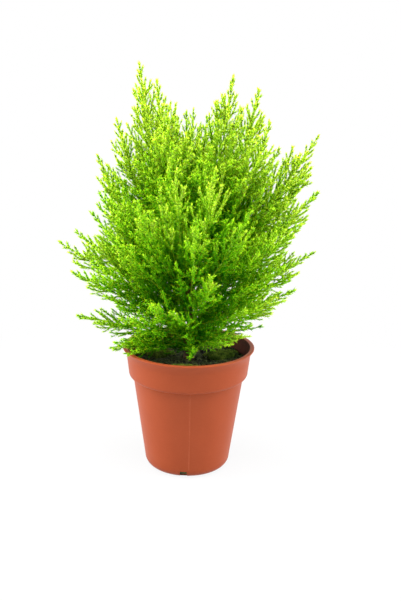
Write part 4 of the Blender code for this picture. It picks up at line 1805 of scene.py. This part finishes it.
@dataclass
class Trunk:
    """The trunk: a tapering stem with flaking ridged bark, flaring a little into the soil."""

    sides: int = 28
    rings: int = 100
    thinnest: float = 0.6 * MM
    girth: float = 5 * MM  # the radius at which the bark's pattern is taken
    ridge: float = 0.28 * MM
    ridge_sizes: tuple[float, float] = (2.4 * MM, 1.1 * MM)
    ridge_stretch: float = 0.22
    flare: float = 2.0 * MM
    flare_height: float = 4 * MM

    def build(self, material: Material) -> Piece:
        """Carries a ridged circle up the middle of the trunk's node.

        The radius at a height is the node's own, plus a flare that dies away above the soil, plus ridges that
        run up the trunk: lumps much longer upwards than round it.

        Args:
            material: The bark.

        Returns:
            The finished piece.
        """
        levels, node_rings = levels_of(node_places("trunk"))
        middles = np.array([ring.mean(axis=0) for ring in node_rings])
        reach = np.array([
            np.hypot(*(ring - middle)[:, :2].T).max() for ring, middle in zip(node_rings, middles)
        ])
        heights = np.linspace(levels[0], levels[-1], self.rings)
        middle = np.stack([np.interp(heights, levels, middles[:, axis]) for axis in (0, 1)], axis=1)
        radius = np.maximum(np.interp(heights, levels[:-1], reach[:-1]), self.thinnest)
        above = np.clip(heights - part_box("root_ball")[1].z, 0, None)
        radius = radius + self.flare * np.exp(-above / self.flare_height)
        ring = circle(self.sides)
        places = np.empty((self.rings, self.sides, 3))
        places[..., :2], places[..., 2] = ring * self.girth, (heights * self.ridge_stretch)[:, None]
        coarse, fine = (lumps(places, size, 31 + number) for number, size in enumerate(self.ridge_sizes))
        ridges = (coarse + 0.5 * fine) * self.ridge
        places[..., :2] = middle[:, None] + (radius[:, None] + ridges)[..., None] * ring
        places[..., 2] = heights[:, None]
        poles = [[*middle[0], heights[0]], [*middle[-1], heights[-1] + MM]]
        shape = Shape()
        shape.add(np.concatenate([places.reshape(-1, 3), poles]), closed_faces(self.rings, self.sides))
        return dress(shape.build("trunk_bark"), [material], ("trunk",))


# ---------------------------------------------------------------- studio


LAMPS = (  # each softbox's name, place and power in watts
    ("left_softbox", (-1.25, 0.05, 0.60), 30.0),
    ("right_softbox", (1.25, 0.05, 0.60), 25.0),
    ("top_softbox", (0.0, -0.30, 1.50), 44.0),
)


@dataclass
class Studio:
    """A white sweep, soft lights and the camera."""

    distance: float = 0.70
    side_step: float = 0.0100
    height: float = 0.3421
    pitch: float = 14.81
    roll: float = 1.077
    lens: float = 48.06
    sensor: float = 36.0
    lamp_size: float = 1.3
    aimed_at: float = 0.55
    world_strength: float = 0.16
    floor_size: float = 12.0
    floor_grey: float = 0.6
    shadow_reach: tuple[float, float] = (0.10, 0.45)
    shadow_glow: float = 0.90

    def build(self) -> None:
        """Sets up everything that isn't part of the object."""
        self.add_floor()
        self.light_world()
        for name, place, power in LAMPS:
            self.add_lamp(name, place, power)
        self.add_camera()
        bpy.context.scene.view_settings.view_transform = "Standard"

    def add_floor(self) -> None:
        """Adds the floor: white to the camera and in reflections, but still taking a soft shadow."""
        corners = np.array([[-1, -1, 0], [1, -1, 0], [1, 1, 0], [-1, 1, 0]]) * (self.floor_size / 2)
        shape = Shape()
        shape.add(corners, np.array([[0, 1, 2, 3]]), smooth=False)
        floor = shape.build("studio_floor")
        material, wiring, shader = new_material("white_floor", roughness=0.9, specular=0.0)
        shader.inputs["Base Color"].default_value = grey(self.floor_grey)
        glow = wiring.node("Emission", Strength=1.0)
        seen = wiring.any_ray("Camera", "Glossy")
        place = wiring.node("TexCoord").outputs["Object"]
        away = wiring.node("VectorMath", place, operation="LENGTH").outputs["Value"]
        near, far = self.shadow_reach
        fade = wiring.spread(away, From_Min=near, From_Max=far, To_Min=self.shadow_glow, To_Max=1.0)
        share = wiring.maths("MULTIPLY", seen, fade)
        mix = wiring.node("MixShader", share, shader.outputs[0], glow.outputs[0])
        wiring.feed(material.node_tree.nodes["Material Output"].inputs["Surface"], mix.outputs[0])
        floor.data.materials.append(material)

    def light_world(self) -> None:
        """Lights from all round, and shows pure white to the camera, in reflections and through glass."""
        world = bpy.data.worlds.new("studio")
        bpy.context.scene.world = world
        world.use_nodes = True
        wiring = Wiring(world.node_tree)
        background = world.node_tree.nodes["Background"]
        background.inputs["Color"].default_value = grey(1.0)
        seen = wiring.any_ray("Camera", "Transmission", "Glossy")
        strength = wiring.spread(seen, To_Min=self.world_strength, To_Max=1.0)
        wiring.feed(background.inputs["Strength"], strength)

    def add_lamp(self, name: str, place: tuple, power: float) -> None:
        """Adds one square soft lamp that faces the middle of the plant.

        Args:
            name: Its name.
            place: Where it hangs.
            power: Its power in watts.
        """
        data = bpy.data.lights.new(name, "AREA")
        data.shape, data.size, data.energy = "SQUARE", self.lamp_size, power
        lamp = bpy.data.objects.new(name, data)
        bpy.context.scene.collection.objects.link(lamp)
        away = unit(place - UP * CAD_BOX[1].z * self.aimed_at)
        side = unit(np.cross([0.0, 1.0, 0.0] if abs(away[2]) > 0.9 else UP, away))
        facing = np.stack([side, np.cross(away, side), away], axis=1)
        lamp.matrix_world = Matrix.Translation(place) @ Matrix(facing.tolist()).to_4x4()

    def add_camera(self) -> None:
        """Adds the camera: in front, a little above, looking a little down and turned about its view."""
        data = bpy.data.cameras.new("camera")
        data.lens, data.sensor_width = self.lens, self.sensor
        camera = bpy.data.objects.new("camera", data)
        bpy.context.scene.collection.objects.link(camera)
        place = Matrix.Translation((self.side_step, -self.distance, self.height))
        look = Matrix.Rotation(math.radians(90 - self.pitch), 4, "X")
        tilt = Matrix.Rotation(math.radians(self.roll), 4, "Z")
        camera.matrix_world = place @ look @ tilt
        bpy.context.scene.camera = camera


# ---------------------------------------------------------------- the plant


# A shoot's lift is painted light over the whole shoot, and painted shade where it is below nought.
SHOOT_TRAITS = {  # a shoot's openness and how much lighter it is
    "side_shoot_09": (1.8, 0.14), "side_shoot_10": (1.9, 0.10), "side_shoot_13": (1.8, 0.02),
    "side_shoot_11": (1.6, -0.04), "side_shoot_12": (1.6, 0.04),
    "low_shoot_08": (1.5, 0.18), "low_shoot_09": (1.6, 0.12), "low_shoot_10": (1.3, 0.22),
    "low_shoot_11": (1.4, 0.32), "low_shoot_07": (1.3, 0.12), "low_shoot_01": (1.1, 0.06),
    "low_shoot_06": (1.1, 0.08), "low_shoot_05": (1.1, 0.08), "low_shoot_12": (1.1, 0.12),
    "low_shoot_15": (1.6, 0.08), "low_shoot_16": (1.3, 0.00), "low_shoot_14": (1.2, 0.00),
}
GAPS = (
    Gap("leader_03", "leader_05", 0.50, 1.00, 1.0),
    Gap("leader_03", "leader_05", 0.15, 0.94, 1.0),
    Gap("leader_03", "leader_05", 0.85, 0.95, 1.0),
    Gap("leader_01", "leader_03", 0.50, 0.86, 1.0),
    Gap("leader_02", "leader_04", 0.50, 0.82, 1.1),
    Gap("leader_05", "leader_08", 0.50, 0.92, 1.1),
    Gap("leader_03", "side_shoot_09", 0.50, 0.96, 1.2),
    Gap("leader_05", "side_shoot_10", 0.50, 0.96, 1.2),
    Gap("side_shoot_01", "leader_08", 0.55, 0.88, 1.1),
    Gap("side_shoot_15", "side_shoot_01", 0.50, 0.90, 1.2),
    Gap("side_shoot_18", "side_shoot_04", 0.50, 0.92, 1.2),
    Gap("side_shoot_05", "low_shoot_12", 0.50, 0.92, 1.2, -0.05),
    Gap("side_shoot_18", "low_shoot_16", 0.50, 0.95, 1.3, -0.05),
    Gap("side_shoot_19", "low_shoot_17", 0.50, 0.95, 1.3, -0.05),
    Gap("side_shoot_12", "side_shoot_09", 0.55, 0.95, 1.7, 0.14),
    Gap("side_shoot_06", "side_shoot_12", 0.45, 0.88, 1.2, 0.02),
    Gap("side_shoot_06", "side_shoot_14", 0.50, 0.92, 1.2, 0.04),
    Gap("side_shoot_14", "low_shoot_03", 0.60, 0.84, 1.2),
    Gap("low_shoot_03", "low_shoot_06", 0.40, 0.86, 1.2, 0.04),
    Gap("leader_06", "leader_08", 0.55, 0.86, 1.2),
    Gap("low_shoot_11", "low_shoot_10", 0.30, 1.00, 1.5, 0.34, 2 * MM),
    Gap("low_shoot_05", "low_shoot_10", 0.25, 1.10, 1.2, 0.20, 7 * MM),
    Gap("low_shoot_05", "low_shoot_04", 0.45, 0.86, 1.1, 0.16, 16 * MM),
    Gap("low_shoot_10", "low_shoot_11", 0.08, 1.04, 1.3, 0.30, -5 * MM),
    Gap("low_shoot_05", "low_shoot_04", 0.10, 0.97, 1.2, 0.14, 9 * MM),
)
FIRST_MOSS_SEED = 40
PLAIN_TRAITS = (1.0, 0.0)


def build_crown(foliage: Material) -> None:
    """Grows every plume's shoot, the shoots that fill the gaps between them, and the twigs in the heart.

    Args:
        foliage: The foliage material.
    """
    crown = Crown()
    for reach in Reach:
        for number, name in enumerate(nodes_named(reach.prefix)):
            seed = 100 * len(reach.prefix) + number
            LeafyShoot(name, reach, crown, seed, *SHOOT_TRAITS.get(name, PLAIN_TRAITS)).build([foliage])
    for number, gap in enumerate(GAPS, start=1):
        reach = next(group for group in Reach if gap.first.startswith(group.prefix))
        FillerShoot(gap.first, reach, crown, number, gap.openness, gap.lift, gap=gap).build([foliage])
    HeartTwigs(crown).build([foliage])


def main() -> None:
    """Builds the finishes, then every piece, then the studio."""
    logging.basicConfig(level=logging.INFO, format="%(message)s")
    mottling, tones = mottling_group(), leaf_tone_group()
    foliage, moss = FOLIAGE_FINISH.material(tones), MOSS_FINISH.material(tones)
    soil, plastic = SOIL_FINISH.material(mottling), PLASTIC_FINISH.material(mottling)
    pot, root_ball = Pot(), RootBall()
    pot.build(plastic, SHADED_INSIDE_FINISH.material(mottling))
    pot.build_seams(PALE_SEAM_FINISH.material(mottling))
    root_ball.build(soil)
    root_ball.build_crumbs(soil)
    for number, name in enumerate(nodes_named("moss")):
        MossCushion(name, FIRST_MOSS_SEED + number).build(moss)
    Trunk().build(BARK_FINISH.material(mottling))
    build_crown(foliage)
    Studio().build()


if __name__ == "__main__":
    main()
